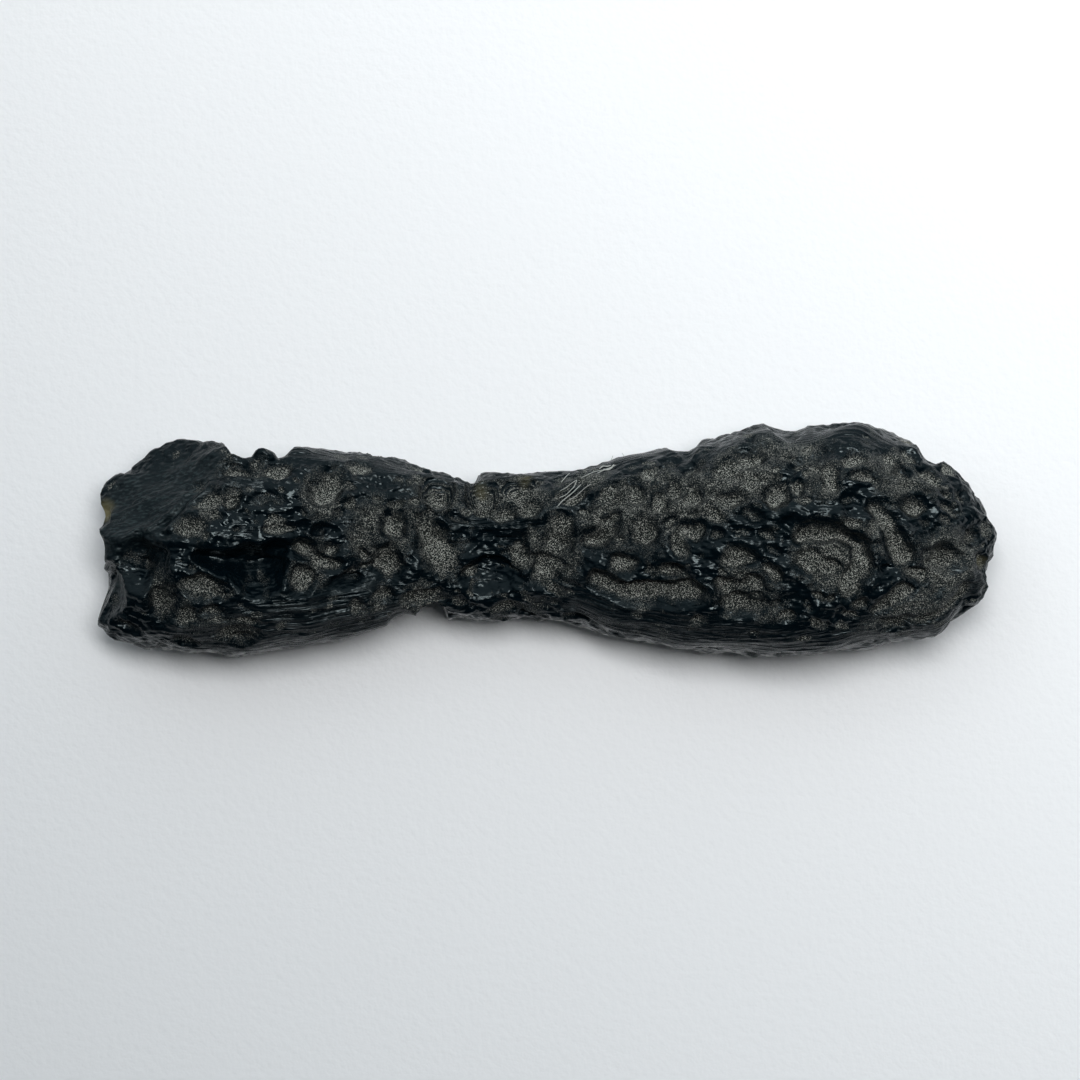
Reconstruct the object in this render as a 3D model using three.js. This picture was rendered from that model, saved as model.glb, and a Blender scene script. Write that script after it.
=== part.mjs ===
// A dumbbell tektite: one lump of natural black glass, thrown out by a meteorite impact, narrowed
// to a waist as it spun, broken across one end and etched all over by the soil that it lay in.
// Units are millimetres. X runs along the stone, +Z is up, and the origin is on the surface that
// the stone rests on, under the middle of its box.
import * as THREE from "three";

// ---------------------------------------------------------------- driving dimensions

const RINGS_ALONG = 94; // rings between the broken end and the start of the round end
const RINGS_BROKEN_END = 5; // rings that close the broken end
const RINGS_ROUND_END = 9; // rings that close the round end
const SIDES = 45; // points in each ring
const TOP_DENSITY = 0.22; // share by which the points of a ring crowd towards its top
const BROKEN_END_X = -45.0; // plane of the break
const ROUND_END_START_X = 39.0; // where the round end begins
const ROUND_END_X = 45.05; // tip of the round end
const SQUARENESS = 2.35; // superellipse exponent of a cross-section, where 2 is an ellipse
const BOWL_POWER = 2.4; // profile of an etched bowl: 2 is a paraboloid, more has a flatter floor
const SPINE_X = [-39, 37]; // ends of the spine that all etching works towards
const TOP_SHARE = 0.999; // no feature on top lies further out than this share of the half width

// Slow lumps all over the skin: waves that run in spread directions, added together.
const LUMP_WAVES = 9;
const LUMP_LENGTH = [4, 10]; // from crest to crest
const LUMP_HEIGHT = 0.08; // of each wave
const LUMP_SINK = 0.35; // depth taken off everywhere, so that the crests keep to the outline

const FULL_TURN = 2 * Math.PI;
const GOLDEN_SHARE = 0.618034; // steps of this share of a turn never line up

// Each lobe stands on a small flat foot, worn off its lowest points.
const FOOT_X = [-33, 26]; // middle of each foot
const FOOT_RADIUS = 3.4; // the slow lumps fade out and no scoop is centred nearer than this
const FOOT_WEAR = 0.35; // height worn off the higher foot

// Underside, where scoops are spread by the golden ratio.
const UNDERSIDE_SCOOPS = 88;
const UNDERSIDE_START = 198; // degrees round a ring, where 180 is the front edge
const UNDERSIDE_SWEEP = 146;
const UNDERSIDE_X = [-42, 43];
const UNDERSIDE_LENGTH = [2.6, 5.6];
const UNDERSIDE_SLIMNESS = [0.6, 0.95]; // width as a share of length
const UNDERSIDE_DEPTH = [0.16, 0.26]; // depth as a share of width
const UNDERSIDE_HEADING = [0, 180]; // degrees

// Cross-sections before etching: x, back edge y, front edge y, top z, underside z.
const SECTIONS = [
  [-45.0, 4.9, -8.7, 11.4, 4.2],
  [-43.9, 6.3, -10.0, 12.6, 2.9],
  [-41.6, 8.0, -10.7, 14.0, 1.7],
  [-39.2, 9.4, -11.3, 14.9, 0.9],
  [-36.8, 10.6, -11.6, 15.5, 0.4],
  [-33.5, 10.2, -11.8, 15.9, 0.0],
  [-29.5, 9.8, -11.7, 15.9, 0.1],
  [-25.3, 9.8, -11.1, 15.5, 0.7],
  [-21.0, 9.4, -10.4, 14.9, 1.3],
  [-16.5, 8.7, -9.2, 14.2, 2.0],
  [-12.5, 7.8, -8.2, 13.6, 2.5],
  [-9.0, 7.0, -8.4, 13.2, 2.8],
  [-5.5, 6.9, -8.6, 13.0, 2.9],
  [-1.0, 7.0, -8.3, 13.3, 2.7],
  [3.0, 7.5, -9.0, 14.1, 2.3],
  [8.0, 8.8, -10.3, 15.3, 1.5],
  [13.5, 9.7, -11.2, 16.6, 0.8],
  [18.5, 11.3, -11.7, 17.6, 0.3],
  [22.5, 11.7, -12.0, 18.1, 0.0],
  [26.5, 11.8, -11.7, 18.3, 0.0],
  [30.5, 12.2, -11.3, 18.0, 0.5],
  [33.5, 11.3, -10.9, 17.4, 1.1],
  [36.5, 10.0, -10.2, 16.5, 1.9],
  [39.5, 8.4, -9.1, 15.1, 3.0],
  [42.0, 6.2, -7.4, 13.5, 4.2],
  [43.8, 3.9, -6.0, 12.1, 5.5],
  [44.7, 2.4, -4.2, 11.1, 6.6],
  [45.05, 1.1, -2.4, 10.1, 7.7],
];

// Flats that cut a corner off the lump: outward normal, then distance from the origin.
const FLATS = [
  [-0.39, 0.589, 0.707, 26.15], // striped facet at the back of the broken end
];

// Large hollows: x, y, length, width, heading in degrees, depth.
const HOLLOWS = [
  [-29.1, -3.2, 6.6, 6.0, 0, 3.3], // smooth black hollow of the broken lobe
  [-32.2, -2.3, 6.4, 3.0, -12, 2.4], // its pointed end
  [-27.4, -0.9, 3.6, 2.4, 20, 2.0],
  [-40.6, -2.4, 6.6, 6.4, 60, 1.9], // rough cavity behind the break
  [-5.6, -3.9, 6.8, 4.2, 0, 2.0], // black hollow of the waist
  [27.9, -1.9, 9.6, 7.6, -10, 0.8], // basin of the round lobe
  [-20.2, -4.6, 4.0, 1.8, 0, 1.2],
  [-2.9, 0.4, 2.9, 2.2, 0, 1.1],
];

// Scoops with a sharp rim on the upper side: x, y, length, width, heading, depth.
const SCOOPS = [
  // broken lobe, along its back edge
  [-34.9, 6.7, 2.3, 2.6, 0, 0.6],
  [-30.9, 7.8, 4.2, 2.6, -15, 1.2],
  [-27.0, 7.6, 3.2, 2.3, 10, 0.8],
  [-31.4, 4.8, 3.2, 2.8, 60, 0.95],
  [-33.6, 4.4, 3.6, 2.2, 10, 0.7],
  [-35.7, 1.5, 4.0, 2.6, 10, 0.8],
  [-38.4, 0.8, 2.6, 1.3, -10, 0.8],
  [-28.4, 4.6, 3.4, 1.9, 15, 0.55],
  [-21.9, 5.8, 6.0, 3.5, 75, 1.2],
  [-18.6, 7.6, 3.2, 1.7, 12, 0.7],
  [-19.4, 3.9, 1.5, 1.5, 0, 0.55],
  // broken lobe, middle
  [-26.7, 1.4, 3.2, 1.5, -5, 0.7],
  [-24.4, 1.7, 1.5, 1.3, 0, 0.55],
  [-22.8, 1.2, 2.0, 1.4, 10, 0.7],
  [-24.3, -1.0, 3.7, 2.7, 0, 1.1],
  [-21.5, -0.7, 1.9, 2.0, 0, 0.7],
  [-22.2, -2.3, 3.9, 2.6, -20, 1.1],
  [-24.4, -4.2, 3.8, 3.1, 80, 1.2],
  [-19.9, -3.6, 1.8, 1.3, 0, 0.45],
  [-18.4, -1.6, 1.7, 1.6, 0, 0.55],
  [-15.3, 1.7, 3.9, 3.4, 90, 1.2],
  [-15.9, -2.5, 4.3, 3.7, 90, 1.1],
  [-16.2, -5.7, 2.5, 2.0, 0, 0.7],
  [-18.9, -7.0, 2.3, 1.8, 10, 0.45],
  [-13.3, 3.9, 1.5, 1.4, 0, 0.4],
  // broken lobe, front edge
  [-34.3, -5.2, 5.9, 2.9, -8, 1.1],
  [-33.5, -7.5, 3.3, 1.7, 0, 0.6],
  [-38.2, -6.2, 6.8, 3.4, 88, 1.35],
  [-36.0, -7.9, 2.9, 2.7, 90, 0.8],
  [-36.0, -10.7, 3.1, 2.4, 0, 0.7],
  [-30.9, -9.9, 5.0, 2.9, 5, 0.8],
  [-30.5, -10.6, 2.4, 1.9, 0, 1.2],
  [-29.9, -8.5, 2.9, 1.4, -10, 0.55],
  [-42.0, -9.3, 3.2, 2.2, -20, 0.8],
  [-41.2, -0.6, 2.8, 2.0, 0, 0.8],
  [-40.0, -3.6, 3.0, 3.4, 0, 0.95],
  // waist
  [-11.0, -0.6, 8.2, 4.5, -67, 1.35],
  [-10.9, 5.2, 4.3, 3.9, 90, 1.5],
  [-9.2, 2.5, 1.7, 1.6, 0, 0.55],
  [-8.4, 0.0, 2.5, 2.6, 0, 0.55],
  [-6.3, 5.5, 3.8, 3.4, 60, 1.35],
  [-6.8, 4.2, 3.6, 2.7, -20, 1.35],
  [-4.2, 3.3, 3.3, 2.5, 0, 1.1],
  [-1.5, 3.3, 2.7, 2.0, 0, 0.8],
  [-2.6, 5.8, 3.8, 2.4, 5, 1.1],
  [1.1, 0.7, 5.6, 3.9, 80, 1.2],
  [0.0, -3.2, 4.7, 3.6, 70, 1.2],
  [-2.5, -1.5, 3.9, 2.8, -60, 0.95],
  [-12.6, -6.1, 4.8, 1.9, 20, 0.7],
  [-3.9, -7.3, 4.7, 2.3, 18, 0.7],
  [-1.7, -7.9, 2.4, 1.4, 0, 0.8],
  [2.6, -8.4, 3.0, 2.1, -35, 0.7],
  // round lobe, near the waist
  [2.7, 4.8, 3.4, 1.6, 30, 0.7],
  [3.8, 3.2, 1.8, 1.7, 0, 0.55],
  [5.1, 0.6, 4.8, 2.8, 22, 1.1],
  [6.3, 2.4, 2.4, 1.7, 30, 0.7],
  [6.2, 5.0, 2.8, 1.9, 30, 0.55],
  [7.5, -2.4, 3.8, 2.4, -5, 0.8],
  [9.7, 1.2, 4.0, 3.4, 90, 1.1],
  [8.8, 4.9, 2.2, 1.9, 90, 0.55],
  [11.0, 4.3, 2.8, 2.3, 60, 0.7],
  [10.3, 6.9, 2.0, 1.9, 0, 0.6],
  [12.6, 5.6, 3.1, 1.8, 100, 0.7],
  [14.6, 5.0, 2.8, 2.3, 90, 0.7],
  [12.3, 2.3, 2.0, 1.9, 0, 0.55],
  [14.5, 1.1, 3.3, 2.8, 0, 0.95],
  [13.0, -0.5, 3.0, 2.3, 80, 0.8],
  [12.5, -3.2, 3.9, 2.2, -3, 0.95],
  [16.7, 2.6, 2.4, 2.0, 0, 0.6],
  [17.0, 0.7, 2.3, 1.7, 0, 0.55],
  [12.0, 8.2, 2.5, 1.8, 10, 0.7],
  [14.6, 7.8, 2.8, 1.9, 0, 0.7],
  [17.6, 7.5, 2.8, 2.0, -5, 0.8],
  [18.1, 4.3, 3.0, 2.5, 15, 0.8],
  // round lobe, middle
  [20.0, 8.7, 4.0, 3.1, 10, 1.1],
  [20.3, 10.3, 1.3, 1.1, 0, 0.7],
  [22.8, 4.8, 3.9, 3.6, -60, 1.1],
  [25.4, 8.2, 4.2, 2.4, 40, 0.8],
  [25.1, 5.5, 1.8, 1.6, 90, 0.55],
  [20.3, 2.6, 2.7, 1.7, -30, 0.7],
  [19.3, 0.9, 3.4, 1.3, -20, 0.55],
  [21.9, 0.5, 2.7, 1.3, -25, 0.55],
  [24.1, 1.7, 2.6, 1.4, 0, 0.95],
  [22.5, -1.1, 2.5, 1.4, -30, 0.6],
  [19.1, -1.8, 3.7, 3.0, -10, 0.95],
  [22.2, -3.5, 3.2, 2.1, -60, 0.8],
  [17.9, -4.8, 3.0, 2.5, 0, 0.8],
  [20.3, -4.7, 2.6, 2.2, 0, 0.8],
  [19.3, -6.8, 5.6, 3.0, 0, 1.2],
  [14.9, -8.2, 2.1, 1.6, 80, 0.55],
  [20.3, -9.6, 1.6, 1.1, 0, 0.4],
  [23.7, -7.8, 2.1, 1.5, -10, 0.55],
  [25.9, -2.3, 3.6, 3.0, 80, 0.8],
  [28.2, -3.0, 2.8, 2.3, 0, 0.7],
  [30.0, -5.0, 3.0, 2.7, 60, 0.95],
  [26.8, -5.8, 1.5, 1.2, 0, 0.45],
  [28.2, -6.0, 1.3, 1.1, 0, 0.4],
  [30.0, -7.7, 1.5, 1.2, 0, 0.45],
  [31.2, -6.6, 1.6, 1.4, 0, 0.55],
  [30.0, 1.9, 1.6, 1.3, 0, 0.45],
  [28.0, 6.7, 3.6, 2.4, 85, 0.8],
  [30.3, 8.3, 3.2, 2.4, 20, 0.8],
  [31.6, 6.6, 3.5, 1.4, 5, 0.6],
  [29.8, 4.4, 2.6, 2.0, 30, 0.55],
  // round lobe, far end
  [36.1, 8.9, 3.4, 2.4, -30, 1.1],
  [35.4, 7.2, 2.6, 1.5, -15, 0.7],
  [38.1, 6.7, 2.9, 2.1, -25, 0.8],
  [39.5, 5.3, 1.9, 1.3, 0, 0.55],
  [41.6, 4.6, 2.6, 2.0, -50, 0.8],
  [40.0, 3.3, 3.0, 1.4, -10, 0.6],
  [36.6, 3.8, 2.9, 2.5, 60, 0.8],
  [37.8, 1.7, 2.2, 1.6, 60, 0.45],
  [38.5, 0.5, 2.0, 1.2, 0, 0.45],
  [42.7, 0.6, 2.8, 2.0, 70, 0.7],
  [39.8, -2.0, 4.8, 3.9, -5, 1.1],
  [44.0, -2.3, 2.6, 2.5, 90, 0.8],
  [36.7, -3.8, 2.8, 2.3, 0, 0.8],
  [33.9, -3.2, 2.7, 1.5, 0, 0.8],
  [34.8, -8.8, 4.9, 2.7, 15, 0.95],
  [38.9, -5.2, 2.6, 1.5, 20, 0.45],
];

// Worm grooves on the upper side: radius, depth, then the x, y points that the groove follows.
const WORMS = [
  [1.4, 1.25, [5.0, -4.3], [6.8, -5.2], [9.2, -5.8], [12.0, -5.8], [14.4, -5.5]],
  [1.3, 1, [25.4, 0.7], [28.8, 0.9], [31.0, -0.7], [31.3, -2.9], [30.2, -4.6]],
  [1.3, 1, [32.3, 3.5], [33.8, 1.8], [34.6, -0.1], [35.3, -1.8]],
  [1.0, 0.6, [32.8, -7.4], [34.0, -6.3], [35.6, -5.7]],
  [0.9, 0.6, [37.3, -8.3], [39.0, -7.3], [41.0, -6.2], [42.1, -5.2]],
  [0.7, 0.6, [-34.6, 6.2], [-35.9, 5.1], [-36.8, 3.3], [-38.4, 1.5], [-39.6, 0.9]],
];

// Knobs that stand proud: x, y, length, width, heading, height.
const KNOBS = [
  [-33.2, 9.2, 3.4, 2.8, -15, 0.5],
  [-28.0, 8.8, 2.4, 1.7, 0, 1.2],
  [-25.2, 9.3, 3.6, 2.4, 20, 0.4],
  [22.0, 10.9, 4.4, 3.2, 0, 0.3],
  [31.0, 11.2, 5.0, 3.2, 0, 0.3],
];

// Chips and notches in the ends and sides: x, y, z, half length, half height, depth.
const CHIPS = [
  [-45.0, -1.2, 7.8, 4.4, 4.2, 2.2], // dished face of the break
  [-45.0, 2.4, 8.0, 1.5, 8.0, 0.9],
  [-45.0, -5.2, 7.0, 2.8, 9.0, 1.2],
  [-44.4, -5.3, 10.9, 3.3, 3.3, 2.5], // smooth chip at the front corner of the break
  [-30.3, 10.4, 7.5, 2.2, 9.0, 1.9], // bites out of the back edge of the broken lobe
  [-27.4, 10.2, 7.5, 2.4, 9.0, 1.3],
  [-8.1, 7.6, 8.0, 1.5, 12.0, 2.4], // notch in the back of the waist
  [-11.6, -8.4, 7.6, 1.7, 12.0, 2.4], // notches in the front of the waist
  [-14.4, -8.7, 7.6, 1.8, 8.0, 0.8],
  [-2.7, -8.6, 7.0, 1.7, 6.0, 0.6],
  [13.6, 10.2, 8.0, 1.8, 9.0, 0.6], // bites out of the back edge of the round lobe
  [23.9, 12.0, 8.4, 2.2, 9.0, 0.9],
  [38.4, 9.1, 9.6, 1.6, 6.0, 1.1],
  [45.0, -3.4, 8.0, 1.8, 4.0, 0.6],
];

// ---------------------------------------------------------------- the lump before etching

const radians = THREE.MathUtils.degToRad;
const { clamp, lerp } = THREE.MathUtils;

// A repeatable number from 0 to 1 for each count and each use of it.
function scatter(count, use) {
  const wave = Math.sin(count * 12.9898 + use * 78.233) * 43758.5453;
  return wave - Math.floor(wave);
}

// Distance from a point to the nearer foot, where z = 0 is the underside of the lobes.
function footDistance({ x, y, z }) {
  return Math.min(...FOOT_X.map((footX) => Math.hypot(x - footX, y, z)));
}

function signedPower(value, power) {
  return Math.sign(value) * Math.abs(value) ** power;
}

// One column of SECTIONS at x, on a smooth curve through its rows.
function sectionValue(column, x) {
  const last = SECTIONS.length - 1;
  let row = 0;
  while (row < last - 1 && SECTIONS[row + 1][0] < x) row += 1;
  const [before, from, to, after] = [row - 1, row, row + 1, row + 2].map(
    (i) => SECTIONS[clamp(i, 0, last)],
  );
  const span = to[0] - from[0];
  const share = clamp((x - from[0]) / span, 0, 1);
  const slopeFrom = (to[column] - before[column]) / (to[0] - before[0]);
  const slopeTo = (after[column] - from[column]) / (after[0] - from[0]);
  const [s2, s3] = [share ** 2, share ** 3];
  return (
    (2 * s3 - 3 * s2 + 1) * from[column] +
    (s3 - 2 * s2 + share) * span * slopeFrom +
    (3 * s2 - 2 * s3) * to[column] +
    (s3 - s2) * span * slopeTo
  );
}

// Middle and half sizes of the cross-section at x.
function sectionAt(x) {
  const [back, front, top, under] = [1, 2, 3, 4].map((column) => sectionValue(column, x));
  return {
    y: (back + front) / 2,
    z: (top + under) / 2,
    halfWidth: (back - front) / 2,
    halfHeight: (top - under) / 2,
  };
}

// Cuts a point back to the flats, towards the middle of its cross-section.
function flatten(point, middle) {
  for (const [nx, ny, nz, distance] of FLATS) {
    const normal = new THREE.Vector3(nx, ny, nz).normalize();
    const over = point.dot(normal) - distance;
    const under = distance - middle.dot(normal);
    if (over > 0) point.lerp(middle, over / (over + under));
  }
  return point;
}

// A point of the lump's skin. The angle is 0 at the back edge, 90 on top and 180 at the front edge.
function skin(x, angle, size = 1) {
  const section = sectionAt(x);
  const across = signedPower(Math.cos(angle), 2 / SQUARENESS);
  const up = signedPower(Math.sin(angle), 2 / SQUARENESS);
  const middle = new THREE.Vector3(x, section.y, section.z);
  const reach = new THREE.Vector3(0, section.halfWidth * across, section.halfHeight * up);
  return flatten(reach.multiplyScalar(size).add(middle), middle);
}

// The point of the upper skin at x, y.
function onTop(x, y) {
  const section = sectionAt(x);
  const across = clamp((y - section.y) / section.halfWidth, -TOP_SHARE, TOP_SHARE);
  return skin(x, Math.acos(signedPower(across, SQUARENESS / 2)));
}

// The direction from a point of the skin towards the spine.
function inward(point) {
  const x = clamp(point.x, ...SPINE_X);
  const section = sectionAt(x);
  return new THREE.Vector3(x, section.y, section.z).sub(point).normalize();
}

// ---------------------------------------------------------------- etching

// An oval hole's centre, with its two directions along the skin divided by its half sizes.
function oval(centre, length, width, heading) {
  const normal = inward(centre);
  const along = new THREE.Vector3(Math.cos(radians(heading)), Math.sin(radians(heading)), 0);
  along.addScaledVector(normal, -along.dot(normal)).normalize();
  const across = new THREE.Vector3().crossVectors(normal, along);
  return {
    centre,
    along: along.multiplyScalar(2 / length),
    across: across.multiplyScalar(2 / width),
    normal: normal.multiplyScalar(2 / width),
  };
}

// How far a point lies from an oval's middle, where 1 is its rim.
function ovalReach(shape, point) {
  const offset = point.clone().sub(shape.centre);
  return Math.hypot(
    offset.dot(shape.along),
    offset.dot(shape.across),
    offset.dot(shape.normal) / 2, // a scoop on a bend follows the skin round it
  );
}

// Depth of a bowl with a sharp rim.
function bowl(reach, depth) {
  return reach < 1 ? depth * (1 - reach ** BOWL_POWER) : 0;
}

// The ovals of a table of features on top.
function ovalsOnTop(table) {
  return table.map(([x, y, length, width, heading, depth]) => ({
    shape: oval(onTop(x, y), length, width, heading),
    depth,
  }));
}

// The ovals of the underside, varied in size, which leave the feet whole.
function ovalsUnderneath() {
  const ovals = [];
  for (let i = 0; i < UNDERSIDE_SCOOPS; i += 1) {
    const x = lerp(...UNDERSIDE_X, (i + 0.5) / UNDERSIDE_SCOOPS);
    const turn = (i * GOLDEN_SHARE) % 1;
    const centre = skin(x, radians(UNDERSIDE_START + UNDERSIDE_SWEEP * turn));
    const length = lerp(...UNDERSIDE_LENGTH, scatter(i, 1));
    const width = length * lerp(...UNDERSIDE_SLIMNESS, scatter(i, 2));
    const heading = lerp(...UNDERSIDE_HEADING, scatter(i, 3));
    const depth = width * lerp(...UNDERSIDE_DEPTH, scatter(i, 4));
    if (footDistance(centre) > FOOT_RADIUS)
      ovals.push({ shape: oval(centre, length, width, heading), depth });
  }
  return ovals;
}

const hollows = ovalsOnTop(HOLLOWS);
const scoops = [...ovalsOnTop(SCOOPS), ...ovalsUnderneath()];
const knobs = ovalsOnTop(KNOBS);

const worms = WORMS.map(([radius, depth, ...route]) => ({
  radius,
  depth,
  route: route.map(([x, y]) => onTop(x, y)),
}));

// Distance from a point to a groove's route.
function wormDistance(route, point) {
  const nearest = new THREE.Vector3();
  let distance = Infinity;
  for (let i = 0; i + 1 < route.length; i += 1) {
    new THREE.Line3(route[i], route[i + 1]).closestPointToPoint(point, true, nearest);
    distance = Math.min(distance, nearest.distanceTo(point));
  }
  return distance;
}

// Depth at a point of the deepest of some ovals.
function deepestOval(ovals, point) {
  return Math.max(...ovals.map(({ shape, depth }) => bowl(ovalReach(shape, point), depth)));
}

// Depth at a point of the hollows, which run into each other without a crest.
function hollowDepth(point) {
  const cubes = hollows.map(({ shape, depth }) => bowl(ovalReach(shape, point), depth) ** 3);
  return Math.cbrt(cubes.reduce((sum, cube) => sum + cube));
}

function deepestWorm(point) {
  return Math.max(
    ...worms.map(({ radius, depth, route }) => bowl(wormDistance(route, point) / radius, depth)),
  );
}

function deepestChip({ x, y, z }) {
  return Math.max(
    ...CHIPS.map(([chipX, chipY, chipZ, halfLength, halfHeight, depth]) => {
      const level = Math.hypot(x - chipX, y - chipY) / halfLength;
      return bowl(Math.hypot(level, (z - chipZ) / halfHeight), depth);
    }),
  );
}

// Height of the slow lumps at a point of the skin.
function lumpHeight(point) {
  const size = LUMP_HEIGHT * Math.min(footDistance(point) / FOOT_RADIUS, 1);
  let height = 0;
  for (let i = 0; i < LUMP_WAVES; i += 1) {
    const turn = FULL_TURN * i * GOLDEN_SHARE;
    const rise = lerp(-1, 1, scatter(i, 5));
    const direction = new THREE.Vector3(Math.cos(turn), Math.sin(turn), rise).normalize();
    const waves = point.dot(direction) / lerp(...LUMP_LENGTH, scatter(i, 6));
    height += size * Math.sin(FULL_TURN * (waves + scatter(i, 7)));
  }
  return height;
}

// Etching depth at a point of the skin. Scoops and grooves that meet leave a crest between them,
// and both lie in the floor of a hollow or chip.
function etching(point) {
  const broad = Math.max(hollowDepth(point), deepestChip(point));
  const fine = Math.max(deepestOval(scoops, point), deepestWorm(point));
  return broad + fine - deepestOval(knobs, point) - lumpHeight(point) + LUMP_SINK;
}

function etched(point) {
  return point.clone().addScaledVector(inward(point), etching(point));
}

// ---------------------------------------------------------------- the solid

// Each ring's x and its size as a share of the full cross-section.
function ringPlaces() {
  const places = [];
  for (let i = 1; i <= RINGS_BROKEN_END; i += 1)
    places.push([BROKEN_END_X, i / (RINGS_BROKEN_END + 1)]);
  for (let i = 0; i <= RINGS_ALONG; i += 1)
    places.push([lerp(BROKEN_END_X, ROUND_END_START_X, i / RINGS_ALONG), 1]);
  for (let i = 1; i <= RINGS_ROUND_END; i += 1) {
    const turn = (i / (RINGS_ROUND_END + 0.5)) * (FULL_TURN / 4);
    places.push([lerp(ROUND_END_START_X, ROUND_END_X, Math.sin(turn)), 1]);
  }
  return places;
}

// The rings' points, with the point that closes each end first and last.
function stonePoints() {
  const points = [etched(skin(BROKEN_END_X, 0, 0))];
  for (const [x, size] of ringPlaces())
    for (let side = 0; side < SIDES; side += 1) {
      const turn = (side / SIDES) * FULL_TURN;
      points.push(etched(skin(x, turn + TOP_DENSITY * Math.cos(turn), size)));
    }
  points.push(etched(skin(ROUND_END_X, 0, 0)));
  return points;
}

// Height at which both feet are worn flat.
function footLevel(points) {
  const lowest = FOOT_X.map((footX) => {
    const near = points.filter((point) => Math.abs(point.x - footX) < FOOT_RADIUS);
    return Math.min(...near.map((point) => point.z));
  });
  return Math.max(...lowest) + FOOT_WEAR;
}

// Wears the feet flat, and moves the origin under the middle of the stone.
function settle(points) {
  const floor = footLevel(points);
  for (const point of points) point.z = Math.max(point.z, floor);
  const box = new THREE.Box3().setFromPoints(points);
  const middle = box.getCenter(new THREE.Vector3()).setZ(floor);
  for (const point of points) point.sub(middle);
  return points;
}

function stoneGeometry() {
  const points = settle(stonePoints());
  const rings = (points.length - 2) / SIDES;
  const at = (ring, side) => 1 + ring * SIDES + (side % SIDES);
  const faces = [];
  for (let side = 0; side < SIDES; side += 1) {
    faces.push(0, at(0, side + 1), at(0, side));
    faces.push(points.length - 1, at(rings - 1, side), at(rings - 1, side + 1));
  }
  for (let ring = 0; ring + 1 < rings; ring += 1)
    for (let side = 0; side < SIDES; side += 1) {
      const [a, b] = [at(ring, side), at(ring, side + 1)];
      const [c, d] = [at(ring + 1, side), at(ring + 1, side + 1)];
      // The shorter diagonal follows a crest or a rim better.
      if (points[a].distanceTo(points[d]) < points[b].distanceTo(points[c]))
        faces.push(a, d, c, a, b, d);
      else faces.push(a, b, c, b, d, c);
    }
  const geometry = new THREE.BufferGeometry().setFromPoints(points);
  geometry.setIndex(faces);
  geometry.computeVertexNormals();
  return geometry;
}

function tektite() {
  const glass = new THREE.MeshStandardMaterial({ color: 0x1b1d1d, roughness: 0.45, metalness: 0 });
  const mesh = new THREE.Mesh(stoneGeometry(), glass);
  mesh.name = "tektite";
  return mesh;
}

const stone = new THREE.Group();
stone.add(tektite());

export default stone;
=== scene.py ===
# %% [markdown]
# # A dumbbell tektite
# A tektite is a lump of natural glass. A meteorite impact melted soil and threw it out, and
# this drop spun as it cooled, so it drew out into two lobes with a waist. Later one end broke
# off, and thousands of years in wet ground etched the skin into scoops, worm grooves and pits.
#
# The solid model already has the lump, its hollows and its larger scoops. Here the same form
# is made again on a finer net, with the small relief that the solid is too coarse for, and it
# gets the finish of etched black glass.

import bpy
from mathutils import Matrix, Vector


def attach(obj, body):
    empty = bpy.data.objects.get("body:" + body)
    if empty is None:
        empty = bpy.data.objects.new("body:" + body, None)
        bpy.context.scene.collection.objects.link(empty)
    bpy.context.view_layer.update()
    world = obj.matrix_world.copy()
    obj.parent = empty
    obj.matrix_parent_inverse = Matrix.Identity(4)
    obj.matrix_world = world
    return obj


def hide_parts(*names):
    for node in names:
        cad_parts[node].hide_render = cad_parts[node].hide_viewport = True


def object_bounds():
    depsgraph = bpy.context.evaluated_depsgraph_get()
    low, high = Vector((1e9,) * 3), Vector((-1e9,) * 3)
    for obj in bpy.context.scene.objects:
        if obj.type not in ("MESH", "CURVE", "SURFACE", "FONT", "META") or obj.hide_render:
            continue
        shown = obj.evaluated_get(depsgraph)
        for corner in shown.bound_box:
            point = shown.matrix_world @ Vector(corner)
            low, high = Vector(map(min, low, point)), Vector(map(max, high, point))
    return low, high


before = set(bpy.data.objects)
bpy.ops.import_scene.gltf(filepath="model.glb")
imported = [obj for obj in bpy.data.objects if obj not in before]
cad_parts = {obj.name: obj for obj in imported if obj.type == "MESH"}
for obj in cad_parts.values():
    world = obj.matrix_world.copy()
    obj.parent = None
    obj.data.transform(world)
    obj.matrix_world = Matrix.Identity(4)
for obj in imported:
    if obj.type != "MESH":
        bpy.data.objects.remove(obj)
cad_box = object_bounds()
print("solid model's box in metres:", cad_box)

# %% [markdown]
# All sizes below are in millimetres, as on a workshop drawing, and one number turns them to
# Blender's metres at the end. The tables repeat the driving sizes of the solid model, so that
# the fine surface lies on the solid one. Each row of a section table gives one cross-section
# of the lump before etching: x, back edge, front edge, top and underside.

# %% Sizes of the lump
import math

import bpy
import numpy as np
from mathutils import Vector, noise

MM = 0.001

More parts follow.
